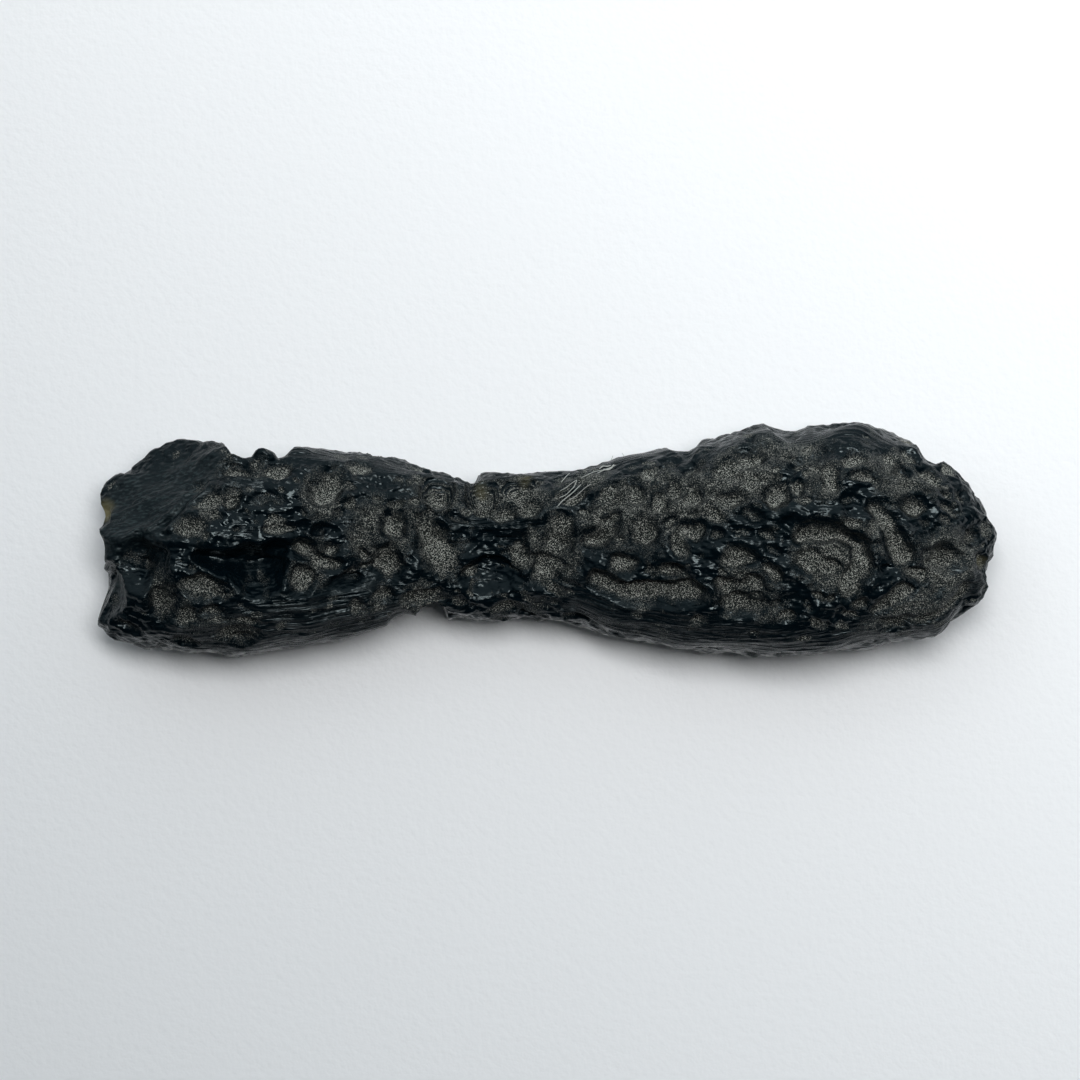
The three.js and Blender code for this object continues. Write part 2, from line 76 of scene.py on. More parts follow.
SECTIONS = np.array([
    [-45.0, 4.9, -8.7, 11.4, 4.2],
    [-43.9, 6.3, -10.0, 12.6, 2.9],
    [-41.6, 8.0, -10.7, 14.0, 1.7],
    [-39.2, 9.4, -11.3, 14.9, 0.9],
    [-36.8, 10.6, -11.6, 15.5, 0.4],
    [-33.5, 10.2, -11.8, 15.9, 0.0],
    [-29.5, 9.8, -11.7, 15.9, 0.1],
    [-25.3, 9.8, -11.1, 15.5, 0.7],
    [-21.0, 9.4, -10.4, 14.9, 1.3],
    [-16.5, 8.7, -9.2, 14.2, 2.0],
    [-12.5, 7.8, -8.2, 13.6, 2.5],
    [-9.0, 7.0, -8.4, 13.2, 2.8],
    [-5.5, 6.9, -8.6, 13.0, 2.9],
    [-1.0, 7.0, -8.3, 13.3, 2.7],
    [3.0, 7.5, -9.0, 14.1, 2.3],
    [8.0, 8.8, -10.3, 15.3, 1.5],
    [13.5, 9.7, -11.2, 16.6, 0.8],
    [18.5, 11.3, -11.7, 17.6, 0.3],
    [22.5, 11.7, -12.0, 18.1, 0.0],
    [26.5, 11.8, -11.7, 18.3, 0.0],
    [30.5, 12.2, -11.3, 18.0, 0.5],
    [33.5, 11.3, -10.9, 17.4, 1.1],
    [36.5, 10.0, -10.2, 16.5, 1.9],
    [39.5, 8.4, -9.1, 15.1, 3.0],
    [42.0, 6.2, -7.4, 13.5, 4.2],
    [43.8, 3.9, -6.0, 12.1, 5.5],
    [44.7, 2.4, -4.2, 11.1, 6.6],
    [45.05, 1.1, -2.4, 10.1, 7.7],
])

FLATS = [
    [-0.39, 0.589, 0.707, 26.15],  # striped facet at the back of the broken end
]

SQUARENESS = 2.35  # superellipse exponent of a cross-section, where 2 is an ellipse
GOLDEN_SHARE = 0.618034  # steps of this share of a turn never line up
SPINE_X = (-39, 37)  # ends of the spine that all etching works towards
BROKEN_END_X = -45.0
ROUND_END_START_X = 39.0
ROUND_END_X = 45.05
TOP_SHARE = 0.999  # no feature on top lies further out than this share of the half width
FOOT_X = (-33, 26)  # middle of each flat foot
FOOT_RADIUS = 3.4  # the slow lumps fade out and no scoop is centred nearer than this
FOOT_WEAR = 0.35  # height worn off the higher foot
print("cross-sections:", len(SECTIONS))

# %% [markdown]
# The skin of the lump is one function. It takes how far along the stone a point is, and its
# angle round the stone, and gives the point. Numpy does this for whole nets of points in one
# go, which is why the functions below work on arrays. Between two rows of the section table
# the sizes follow a smooth curve that passes through both.

# %% The lump's skin before etching
def blend(low, high, share):
    return low + (high - low) * share


def section_at(x):
    x = np.asarray(x, float)
    last = len(SECTIONS) - 1
    row = np.clip(np.searchsorted(SECTIONS[:, 0], x, side="right") - 1, 0, last - 1)
    before = SECTIONS[np.clip(row - 1, 0, last)]
    start = SECTIONS[row]
    end = SECTIONS[row + 1]
    after = SECTIONS[np.clip(row + 2, 0, last)]
    span = (end - start)[..., :1]
    share = np.clip((x[..., None] - start[..., :1]) / span, 0, 1)
    slope_start = (end - before) / (end - before)[..., :1]
    slope_end = (after - start) / (after - start)[..., :1]
    rise = 3 * share**2 - 2 * share**3
    sizes = (
        (1 - rise) * start
        + (share**3 - 2 * share**2 + share) * span * slope_start
        + rise * end
        + (share**3 - share**2) * span * slope_end
    )
    back, front, top, under = np.moveaxis(sizes[..., 1:], -1, 0)
    return (back + front) / 2, (top + under) / 2, (back - front) / 2, (top - under) / 2


def signed_power(value, power):
    return np.sign(value) * np.abs(value) ** power


def unit(vectors):
    return vectors / np.linalg.norm(vectors, axis=-1, keepdims=True)


def skin(x, angle, size=1.0):
    x, angle, size = np.broadcast_arrays(x, angle, size)
    middle_y, middle_z, half_width, half_height = section_at(x)
    middle = np.stack([x, middle_y, middle_z], -1)
    across = half_width * signed_power(np.cos(angle), 2 / SQUARENESS) * size
    up = half_height * signed_power(np.sin(angle), 2 / SQUARENESS) * size
    points = middle + np.stack([0 * x, across, up], -1)
    for *direction, distance in FLATS:
        normal = unit(np.array(direction))
        over = points @ normal - distance
        under = distance - middle @ normal
        cut = np.where(over > 0, over / (over + under), 0)
        points = points + (middle - points) * cut[..., None]
    return points


def on_top(x, y):
    middle_y, _, half_width, _ = section_at(x)
    across = np.clip((y - middle_y) / half_width, -TOP_SHARE, TOP_SHARE)
    return skin(x, np.arccos(signed_power(across, SQUARENESS / 2)))


def inward(points):
    x = np.clip(points[..., 0], *SPINE_X)
    middle_y, middle_z, _, _ = section_at(x)
    return unit(np.stack([x, middle_y, middle_z], -1) - points)


def foot_distance(points):
    gaps = [np.linalg.norm(points - [x, 0, 0], axis=-1) for x in FOOT_X]
    return np.minimum(*gaps)


print("top of the waist at", on_top(-10.0, 0.0))

# %% [markdown]
# ## The etched relief
# Soil water dissolves glass fastest in small hollows, so each scoop grows as a bowl with a
# sharp rim, and where two bowls meet there is a crest. Taking the deepest bowl at each point,
# rather than their sum, gives just that. Scoops and worm grooves lie in the floors of the
# larger hollows, so those two depths are added.
#
# Each row of a scoop table is x, y, length, width, heading in degrees and depth. The last
# number in a row of `SCOOPS` is new here: it is how frosted the scoop's floor is, from 0 for
# clear glass to 1 for matt and dusty. In `WORMS` it comes third, after radius and depth.

# %% Hollows, knobs and chips
HOLLOWS = [
    [-29.1, -3.2, 6.6, 6.0, 0, 3.3],  # smooth black hollow of the broken lobe
    [-32.2, -2.3, 6.4, 3.0, -12, 2.4],  # its pointed end
    [-27.4, -0.9, 3.6, 2.4, 20, 2.0],
    [-40.6, -2.4, 6.6, 6.4, 60, 1.9],  # rough cavity behind the break
    [-5.6, -3.9, 6.8, 4.2, 0, 2.0],  # black hollow of the waist
    [27.9, -1.9, 9.6, 7.6, -10, 0.8],  # basin of the round lobe
    [-20.2, -4.6, 4.0, 1.8, 0, 1.2],
    [-2.9, 0.4, 2.9, 2.2, 0, 1.1],
]

KNOBS = [
    [-33.2, 9.2, 3.4, 2.8, -15, 0.5],
    [-28.0, 8.8, 2.4, 1.7, 0, 1.2],
    [-25.2, 9.3, 3.6, 2.4, 20, 0.4],
    [22.0, 10.9, 4.4, 3.2, 0, 0.3],
    [31.0, 11.2, 5.0, 3.2, 0, 0.3],
]

CHIPS = [
    [-45.0, -1.2, 7.8, 4.4, 4.2, 2.2],  # dished face of the break
    [-45.0, 2.4, 8.0, 1.5, 8.0, 0.9],
    [-45.0, -5.2, 7.0, 2.8, 9.0, 1.2],
    [-44.4, -5.3, 10.9, 3.3, 3.3, 2.5],  # smooth chip at the front corner of the break
    [-30.3, 10.4, 7.5, 2.2, 9.0, 1.9],  # bites out of the back edge of the broken lobe
    [-27.4, 10.2, 7.5, 2.4, 9.0, 1.3],
    [-8.1, 7.6, 8.0, 1.5, 12.0, 2.4],  # notch in the back of the waist
    [-11.6, -8.4, 7.6, 1.7, 12.0, 2.4],  # notches in the front of the waist
    [-14.4, -8.7, 7.6, 1.8, 8.0, 0.8],
    [-2.7, -8.6, 7.0, 1.7, 6.0, 0.6],
    [13.6, 10.2, 8.0, 1.8, 9.0, 0.6],  # bites out of the back edge of the round lobe
    [23.9, 12.0, 8.4, 2.2, 9.0, 0.9],
    [38.4, 9.1, 9.6, 1.6, 6.0, 1.1],
    [45.0, -3.4, 8.0, 1.8, 4.0, 0.6],
]
print("hollows, knobs and chips:", len(HOLLOWS), len(KNOBS), len(CHIPS))

# %% Scoops on the upper side
SCOOPS = [
    # broken lobe, along its back edge
    [-34.9, 6.7, 2.3, 2.6, 0, 0.6, 1],
    [-30.9, 7.8, 4.2, 2.6, -15, 1.2, 1],
    [-27.0, 7.6, 3.2, 2.3, 10, 0.8, 1],
    [-31.4, 4.8, 3.2, 2.8, 60, 0.95, 1],
    [-33.6, 4.4, 3.6, 2.2, 10, 0.7, 1],
    [-35.7, 1.5, 4.0, 2.6, 10, 0.8, 1],
    [-38.4, 0.8, 2.6, 1.3, -10, 0.8, 0.1],
    [-28.4, 4.6, 3.4, 1.9, 15, 0.55, 0.35],
    [-21.9, 5.8, 6.0, 3.5, 75, 1.2, 1],
    [-18.6, 7.6, 3.2, 1.7, 12, 0.7, 1],
    [-19.4, 3.9, 1.5, 1.5, 0, 0.55, 1],
    # broken lobe, middle
    [-26.7, 1.4, 3.2, 1.5, -5, 0.7, 1],
    [-24.4, 1.7, 1.5, 1.3, 0, 0.55, 0.15],
    [-22.8, 1.2, 2.0, 1.4, 10, 0.7, 0.15],
    [-24.3, -1.0, 3.7, 2.7, 0, 1.1, 1],
    [-21.5, -0.7, 1.9, 2.0, 0, 0.7, 1],
    [-22.2, -2.3, 3.9, 2.6, -20, 1.1, 1],
    [-24.4, -4.2, 3.8, 3.1, 80, 1.2, 1],
    [-19.9, -3.6, 1.8, 1.3, 0, 0.45, 1],
    [-18.4, -1.6, 1.7, 1.6, 0, 0.55, 1],
    [-15.3, 1.7, 3.9, 3.4, 90, 1.2, 1],
    [-15.9, -2.5, 4.3, 3.7, 90, 1.1, 1],
    [-16.2, -5.7, 2.5, 2.0, 0, 0.7, 1],
    [-18.9, -7.0, 2.3, 1.8, 10, 0.45, 1],
    [-13.3, 3.9, 1.5, 1.4, 0, 0.4, 1],
    # broken lobe, front edge
    [-34.3, -5.2, 5.9, 2.9, -8, 1.1, 1],
    [-33.5, -7.5, 3.3, 1.7, 0, 0.6, 0.6],
    [-38.2, -6.2, 6.8, 3.4, 88, 1.35, 1],
    [-36.0, -7.9, 2.9, 2.7, 90, 0.8, 1],
    [-36.0, -10.7, 3.1, 2.4, 0, 0.7, 1],
    [-30.9, -9.9, 5.0, 2.9, 5, 0.8, 1],
    [-30.5, -10.6, 2.4, 1.9, 0, 1.2, 1],
    [-29.9, -8.5, 2.9, 1.4, -10, 0.55, 1],
    [-42.0, -9.3, 3.2, 2.2, -20, 0.8, 0.6],
    [-41.2, -0.6, 2.8, 2.0, 0, 0.8, 0.35],
    [-40.0, -3.6, 3.0, 3.4, 0, 0.95, 0.45],
    # waist
    [-11.0, -0.6, 8.2, 4.5, -67, 1.35, 1],
    [-10.9, 5.2, 4.3, 3.9, 90, 1.5, 1],
    [-9.2, 2.5, 1.7, 1.6, 0, 0.55, 0.3],
    [-8.4, 0.0, 2.5, 2.6, 0, 0.55, 0.35],
    [-6.3, 5.5, 3.8, 3.4, 60, 1.35, 1],
    [-6.8, 4.2, 3.6, 2.7, -20, 1.35, 1],
    [-4.2, 3.3, 3.3, 2.5, 0, 1.1, 1],
    [-1.5, 3.3, 2.7, 2.0, 0, 0.8, 1],
    [-2.6, 5.8, 3.8, 2.4, 5, 1.1, 1],
    [1.1, 0.7, 5.6, 3.9, 80, 1.2, 1],
    [0.0, -3.2, 4.7, 3.6, 70, 1.2, 1],
    [-2.5, -1.5, 3.9, 2.8, -60, 0.95, 1],
    [-12.6, -6.1, 4.8, 1.9, 20, 0.7, 1],
    [-3.9, -7.3, 4.7, 2.3, 18, 0.7, 1],
    [-1.7, -7.9, 2.4, 1.4, 0, 0.8, 0.8],
    [2.6, -8.4, 3.0, 2.1, -35, 0.7, 1],
    # round lobe, near the waist
    [2.7, 4.8, 3.4, 1.6, 30, 0.7, 1],
    [3.8, 3.2, 1.8, 1.7, 0, 0.55, 1],
    [5.1, 0.6, 4.8, 2.8, 22, 1.1, 1],
    [6.3, 2.4, 2.4, 1.7, 30, 0.7, 1],
    [6.2, 5.0, 2.8, 1.9, 30, 0.55, 1],
    [7.5, -2.4, 3.8, 2.4, -5, 0.8, 1],
    [9.7, 1.2, 4.0, 3.4, 90, 1.1, 1],
    [8.8, 4.9, 2.2, 1.9, 90, 0.55, 1],
    [11.0, 4.3, 2.8, 2.3, 60, 0.7, 1],
    [10.3, 6.9, 2.0, 1.9, 0, 0.6, 1],
    [12.6, 5.6, 3.1, 1.8, 100, 0.7, 1],
    [14.6, 5.0, 2.8, 2.3, 90, 0.7, 1],
    [12.3, 2.3, 2.0, 1.9, 0, 0.55, 1],
    [14.5, 1.1, 3.3, 2.8, 0, 0.95, 1],
    [13.0, -0.5, 3.0, 2.3, 80, 0.8, 1],
    [12.5, -3.2, 3.9, 2.2, -3, 0.95, 1],
    [16.7, 2.6, 2.4, 2.0, 0, 0.6, 1],
    [17.0, 0.7, 2.3, 1.7, 0, 0.55, 0.6],
    [12.0, 8.2, 2.5, 1.8, 10, 0.7, 0.35],
    [14.6, 7.8, 2.8, 1.9, 0, 0.7, 0.5],
    [17.6, 7.5, 2.8, 2.0, -5, 0.8, 1],
    [18.1, 4.3, 3.0, 2.5, 15, 0.8, 1],
    # round lobe, middle
    [20.0, 8.7, 4.0, 3.1, 10, 1.1, 1],
    [20.3, 10.3, 1.3, 1.1, 0, 0.7, 0.2],
    [22.8, 4.8, 3.9, 3.6, -60, 1.1, 1],
    [25.4, 8.2, 4.2, 2.4, 40, 0.8, 0.15],
    [25.1, 5.5, 1.8, 1.6, 90, 0.55, 1],
    [20.3, 2.6, 2.7, 1.7, -30, 0.7, 0.6],
    [19.3, 0.9, 3.4, 1.3, -20, 0.55, 0.5],
    [21.9, 0.5, 2.7, 1.3, -25, 0.55, 0.5],
    [24.1, 1.7, 2.6, 1.4, 0, 0.95, 0.1],
    [22.5, -1.1, 2.5, 1.4, -30, 0.6, 0.4],
    [19.1, -1.8, 3.7, 3.0, -10, 0.95, 1],
    [22.2, -3.5, 3.2, 2.1, -60, 0.8, 1],
    [17.9, -4.8, 3.0, 2.5, 0, 0.8, 1],
    [20.3, -4.7, 2.6, 2.2, 0, 0.8, 1],
    [19.3, -6.8, 5.6, 3.0, 0, 1.2, 1],
    [14.9, -8.2, 2.1, 1.6, 80, 0.55, 1],
    [20.3, -9.6, 1.6, 1.1, 0, 0.4, 1],
    [23.7, -7.8, 2.1, 1.5, -10, 0.55, 1],
    [25.9, -2.3, 3.6, 3.0, 80, 0.8, 1],
    [28.2, -3.0, 2.8, 2.3, 0, 0.7, 1],
    [30.0, -5.0, 3.0, 2.7, 60, 0.95, 1],
    [26.8, -5.8, 1.5, 1.2, 0, 0.45, 1],
    [28.2, -6.0, 1.3, 1.1, 0, 0.4, 1],
    [30.0, -7.7, 1.5, 1.2, 0, 0.45, 1],
    [31.2, -6.6, 1.6, 1.4, 0, 0.55, 1],
    [30.0, 1.9, 1.6, 1.3, 0, 0.45, 1],
    [28.0, 6.7, 3.6, 2.4, 85, 0.8, 1],
    [30.3, 8.3, 3.2, 2.4, 20, 0.8, 1],
    [31.6, 6.6, 3.5, 1.4, 5, 0.6, 1],
    [29.8, 4.4, 2.6, 2.0, 30, 0.55, 0.5],
    # round lobe, far end
    [36.1, 8.9, 3.4, 2.4, -30, 1.1, 1],
    [35.4, 7.2, 2.6, 1.5, -15, 0.7, 0.5],
    [38.1, 6.7, 2.9, 2.1, -25, 0.8, 1],
    [39.5, 5.3, 1.9, 1.3, 0, 0.55, 0.5],
    [41.6, 4.6, 2.6, 2.0, -50, 0.8, 0.6],
    [40.0, 3.3, 3.0, 1.4, -10, 0.6, 0.5],
    [36.6, 3.8, 2.9, 2.5, 60, 0.8, 1],
    [37.8, 1.7, 2.2, 1.6, 60, 0.45, 0.5],
    [38.5, 0.5, 2.0, 1.2, 0, 0.45, 0.4],
    [42.7, 0.6, 2.8, 2.0, 70, 0.7, 0.6],
    [39.8, -2.0, 4.8, 3.9, -5, 1.1, 1],
    [44.0, -2.3, 2.6, 2.5, 90, 0.8, 1],
    [36.7, -3.8, 2.8, 2.3, 0, 0.8, 1],
    [33.9, -3.2, 2.7, 1.5, 0, 0.8, 0.15],
    [34.8, -8.8, 4.9, 2.7, 15, 0.95, 1],
    [38.9, -5.2, 2.6, 1.5, 20, 0.45, 0.5],
]
print("scoops:", len(SCOOPS))

# %% Worm grooves on the upper side
WORMS = [
    [1.4, 1.25, 1, [5.0, -4.3], [6.8, -5.2], [9.2, -5.8], [12.0, -5.8], [14.4, -5.5]],
    [1.3, 1, 1, [25.4, 0.7], [28.8, 0.9], [31.0, -0.7], [31.3, -2.9], [30.2, -4.6]],
    [1.3, 1, 1, [32.3, 3.5], [33.8, 1.8], [34.6, -0.1], [35.3, -1.8]],
    [1.0, 0.6, 1, [32.8, -7.4], [34.0, -6.3], [35.6, -5.7]],
    [0.9, 0.6, 1, [37.3, -8.3], [39.0, -7.3], [41.0, -6.2], [42.1, -5.2]],
    [0.7, 0.6, 0.1, [-34.6, 6.2], [-35.9, 5.1], [-36.8, 3.3], [-38.4, 1.5], [-39.6, 0.9]],
]
print("worm grooves:", len(WORMS))

# %% [markdown]
# An oval is stored as its centre and three directions, each already divided by its half size,
# so that the distance of a point from the centre comes out as 1 on the rim. A patch is 1
# inside and fades to 0 towards its rim. The net is in order along the stone, so each oval only
# needs the rings near it, which keeps this fast.

# %% Bowls and ovals
BOWL_POWER = 2.4  # profile of an etched bowl: 2 is a paraboloid, more has a flatter floor
RIM_ROOM = 1  # mm that a wandering rim may lie outside its oval


def bowl(reach, depth):
    return depth * (1 - np.minimum(reach, 1) ** BOWL_POWER)


def oval(centre, length, width, heading):
    normal = inward(centre)
    turn = math.radians(heading)
    along = np.array([math.cos(turn), math.sin(turn), 0])
    along = unit(along - normal * (along @ normal))
    across = np.cross(normal, along)
    return centre, along * 2 / length, across * 2 / width, normal * 2 / width


def oval_reach(shape, points):
    centre, along, across, normal = shape
    offset = points - centre
    return np.sqrt((offset @ along) ** 2 + (offset @ across) ** 2 + (offset @ normal / 2) ** 2)


def rings_near(x, length):
    room = length / 2 + RIM_ROOM
    return slice(*np.searchsorted(ring_x, [x - room, x + room]))


def fading(reach, rim, fade):
    return np.clip((rim - reach) / fade, 0, 1)


def kept(mask, lost):
    return 1 - lost * mask


def lift(values, near, least):
    values[near] = np.maximum(values[near], least)


def carve(depths, shape, length, depth):
    near = rings_near(shape[0][0], length)
    reach = oval_reach(shape, wandering[near])
    lift(depths, near, bowl(reach, depth))
    return near, reach


print("a bowl 1 deep is", bowl(0.5, 1.0), "deep half way out")

# %% [markdown]
# The net has rings along the stone and points round each ring. The points crowd towards the
# top, where the finest relief is looked at. The broken end is closed by shrinking rings, and
# the round end by rings that bunch up towards the tip. Two triangles for each cell keep the
# whole stone under 200,000.

# %% The net of points
RINGS_BROKEN_END = 14
RINGS_ALONG = 312
RINGS_ROUND_END = 28
SIDES = 272
TOP_DENSITY = 0.3

shrinking = np.arange(1, RINGS_BROKEN_END + 1) / (RINGS_BROKEN_END + 1)
rounding = np.sin(np.arange(1, RINGS_ROUND_END + 1) / (RINGS_ROUND_END + 0.5) * math.pi / 2)
ring_x = np.concatenate([
    np.full(RINGS_BROKEN_END, BROKEN_END_X),
    np.linspace(BROKEN_END_X, ROUND_END_START_X, RINGS_ALONG),
    blend(ROUND_END_START_X, ROUND_END_X, rounding),
])
ring_size = np.ones(len(ring_x))
ring_size[:RINGS_BROKEN_END] = shrinking
turns = np.arange(SIDES) / SIDES * 2 * math.pi
angles = turns + TOP_DENSITY * np.cos(turns)
lump = skin(ring_x[:, None], angles[None, :], ring_size[:, None])
rings = len(ring_x)
print("net:", rings, "rings of", SIDES, "points,", 2 * rings * SIDES, "triangles")

# %% [markdown]
# No scoop on a real stone is a true oval. Rather than drawing each outline, every point's
# place is shifted a little by noise before its distance from a scoop is measured, so all the
# rims wander. Each wander has a size, a distance and the seed of its first axis.

# %% Wandering places
SEED_STEP = (17.3, 5.1, 9.7)  # carries each seed to its own place in the noise
WANDERS = [(2.6, 0.55, 11), (1.0, 0.20, 21)]


def noise_field(points, size, seed):
    offset = Vector([seed * step for step in SEED_STEP])
    flat = points.reshape(-1, 3) / size
    values = [noise.noise(Vector(p) + offset) for p in flat.tolist()]
    return np.array(values).reshape(points.shape[:-1])


wandering = lump.copy()
for size, distance, seed in WANDERS:
    for axis in range(3):
        wandering[..., axis] += noise_field(lump, size, seed + axis) * distance
print("places wander up to", round(float(np.abs(wandering - lump).max()), 2), "mm")

# %% [markdown]
# The hidden underside gets scoops of the same kinds and sizes. The golden ratio spreads them
# without rows or gaps, and a sine with a large factor gives each its own size. Nothing is
# random from run to run. Hollows run into each other without a crest, which the cube root of
# a sum of cubes gives.

# %% Large hollows, chips and knobs
COUNT_STEP, USE_STEP, FACTOR = 12.9898, 78.233, 43758.5453


def scatter(count, use):
    wave = np.sin(count * COUNT_STEP + use * USE_STEP) * FACTOR
    return wave - np.floor(wave)


cubes = np.zeros((rings, SIDES))
for x, y, length, width, heading, depth in HOLLOWS:
    shape = oval(on_top(x, y), length, width, heading)
    near = rings_near(x, length)
    cubes[near] += bowl(oval_reach(shape, wandering[near]), depth) ** 3
broad = np.cbrt(cubes)
for x, y, z, half_length, half_height, depth in CHIPS:
    level = np.hypot(lump[..., 0] - x, lump[..., 1] - y) / half_length
    reach = np.hypot(level, (lump[..., 2] - z) / half_height)
    broad = np.maximum(broad, bowl(reach, depth))
proud = np.zeros((rings, SIDES))
for x, y, length, width, heading, height in KNOBS:
    carve(proud, oval(on_top(x, y), length, width, heading), length, height)
print("deepest hollow", round(broad.max(), 2), "mm, highest knob", round(proud.max(), 2), "mm")

# %% Scoops and worm grooves, and where they are frosted
UNDERSIDE_SCOOPS = 88
UNDERSIDE_START = 198
UNDERSIDE_SWEEP = 146
UNDERSIDE_X = (-42, 43)
UNDERSIDE_LENGTH = (2.6, 5.6)
UNDERSIDE_SLIMNESS = (0.6, 0.95)
UNDERSIDE_DEPTH = (0.16, 0.26)
UNDERSIDE_FROST = 0.9

RINGED_SCOOPS = [(-10.9, 5.2), (-6.3, 5.5), (-2.6, 5.8)]  # x, y of those with fine rings
RINGS_REACH = 1.05

fine, frost, ring_radius = np.zeros((3, rings, SIDES))


def frost_over(near, reach, amount):
    lift(frost, near, fading(reach, rim=1.16, fade=0.75) * amount)


for x, y, length, width, heading, depth, matt in SCOOPS:
    shape = oval(on_top(x, y), length, width, heading)
    near, reach = carve(fine, shape, length, depth)
    frost_over(near, reach, matt)
    if (x, y) in RINGED_SCOOPS:
        radius = reach * length / 2
        ring_radius[near] = np.where(reach < RINGS_REACH, radius, ring_radius[near])

for i in range(UNDERSIDE_SCOOPS):
    x = blend(*UNDERSIDE_X, (i + 0.5) / UNDERSIDE_SCOOPS)
    sweep = UNDERSIDE_SWEEP * (i * GOLDEN_SHARE % 1)
    centre = skin(x, math.radians(UNDERSIDE_START + sweep))
    length = blend(*UNDERSIDE_LENGTH, scatter(i, 1))
    width = length * blend(*UNDERSIDE_SLIMNESS, scatter(i, 2))
    depth = width * blend(*UNDERSIDE_DEPTH, scatter(i, 4))
    if foot_distance(centre) > FOOT_RADIUS:
        shape = oval(centre, length, width, 180 * scatter(i, 3))
        frost_over(*carve(fine, shape, length, depth), UNDERSIDE_FROST)

for radius, depth, matt, *route in WORMS:
    stops = [on_top(x, y) for x, y in route]
    distance = np.full((rings, SIDES), np.inf)
    for start, end in zip(stops, stops[1:]):
        way = end - start
        share = np.clip((wandering - start) @ way / (way @ way), 0, 1)
        gap = wandering - (start + share[..., None] * way)
        distance = np.minimum(distance, np.linalg.norm(gap, axis=-1))
    fine = np.maximum(fine, bowl(distance / radius, depth))
    frost_over(slice(None), distance / radius, matt)
print("share of the skin that is frosted:", round(float((frost > 0.5).mean()), 2))
print("points with rings:", int((ring_radius > 0).sum()))

# %% [markdown]
# Whole areas between the scoops are etched matt as well, more thinly. Each row of the field
# table is an oval area of the skin and how matt it is on average.

# %% Thinly frosted fields
FIELDS = [  # x, y, length, width, heading, frost
    [-33.6, 4.6, 6.0, 3.4, -10, 0.34],
    [-29.5, 7.6, 9.0, 3.0, 0, 0.42],
    [-22.2, 5.2, 8.0, 5.0, 75, 0.50],
    [-16.6, 0.4, 10.0, 8.4, 80, 0.52],
    [-23.8, -2.4, 6.4, 7.4, 0, 0.46],
    [-38.4, -6.0, 8.0, 4.0, 84, 0.50],
    [-41.2, -1.8, 5.0, 4.4, 0, 0.32],
    [-33.0, -9.0, 8.0, 3.4, 0, 0.40],
    [-12.4, -6.6, 7.0, 2.2, 24, 0.55],
    [-10.5, 5.0, 6.0, 5.0, 0, 0.55],
    [-4.4, 4.6, 10.0, 4.4, -10, 0.62],
    [0.2, -1.0, 8.0, 6.0, -60, 0.52],
    [3.0, 5.8, 9.0, 4.0, 25, 0.45],
    [10.4, 3.6, 20.0, 9.6, 8, 0.56],
    [19.2, 6.6, 9.0, 6.4, 30, 0.55],
    [20.0, -5.6, 8.0, 8.0, 0, 0.45],
    [28.4, -1.6, 9.6, 8.6, 0, 0.62],
    [27.6, 6.4, 5.4, 6.0, 0, 0.45],
    [22.0, 9.0, 14.0, 5.4, 10, 0.46],
    [34.6, 7.0, 10.0, 6.4, -35, 0.50],
    [34.0, 0.6, 4.0, 8.0, 20, 0.40],
    [40.0, -2.2, 9.0, 8.0, -10, 0.58],
    [36.0, -8.0, 13.0, 5.0, 25, 0.50],
    [-3.4, -7.6, 8.0, 2.6, 10, 0.50],
]
field = np.zeros((rings, SIDES))
for x, y, length, width, heading, amount in FIELDS:
    shape = oval(on_top(x, y), length, width, heading)
    patch = fading(oval_reach(shape, wandering), rim=1.15, fade=0.55)
    field = np.maximum(field, patch * amount)
print("share of the skin in fields:", round(float((field > 0.3).mean()), 2))

# %% [markdown]
# ## Small relief
# The glass between the scoops is crowded with pits of 0.5 to 2 mm and with tiny bumps that
# each catch a point of light. They are far too many to place one by one, so a seeded generator
# scatters them. The striped facet, the big black hollow and the fresh chip have fewer of them.
# Facet and chip have a satin sheen instead.

# %% Where the glass is smooth
SMOOTH = [  # x, y, length, width, heading, evenness, satin
    [-39.4, 6.0, 14.0, 9.4, 36, 0.78, 1.0],
    [-30.4, -3.0, 8.0, 4.4, -8, 0.35, 0.0],
    [-44.0, -5.4, 4.0, 4.6, 90, 1.0, 1.0],
]
smooth, satin = np.zeros((2, rings, SIDES))
for x, y, length, width, heading, evenness, sheen in SMOOTH:
    shape = oval(on_top(x, y), length, width, heading)
    patch = fading(oval_reach(shape, wandering), rim=1.2, fade=0.4)
    smooth = np.maximum(smooth, patch * evenness)
    satin = np.maximum(satin, patch * sheen)
print("share that is smooth:", round(float((smooth > 0.5).mean()), 3))

# %% Small pits
SMALL_PITS = 3600
PIT_SEED = 7
PIT_X = (-44.6, 44.8)
PIT_LENGTH, PIT_SPREAD, PIT_RARITY = 0.55, 1.5, 2.2  # least, how much more, how rarely
PIT_SLIMNESS = (0.6, 1.0)
PIT_TURN = 40  # usual angle off the stone's length, in degrees
PIT_DEPTH = 0.26  # share of the width
PIT_FROST = 0.8

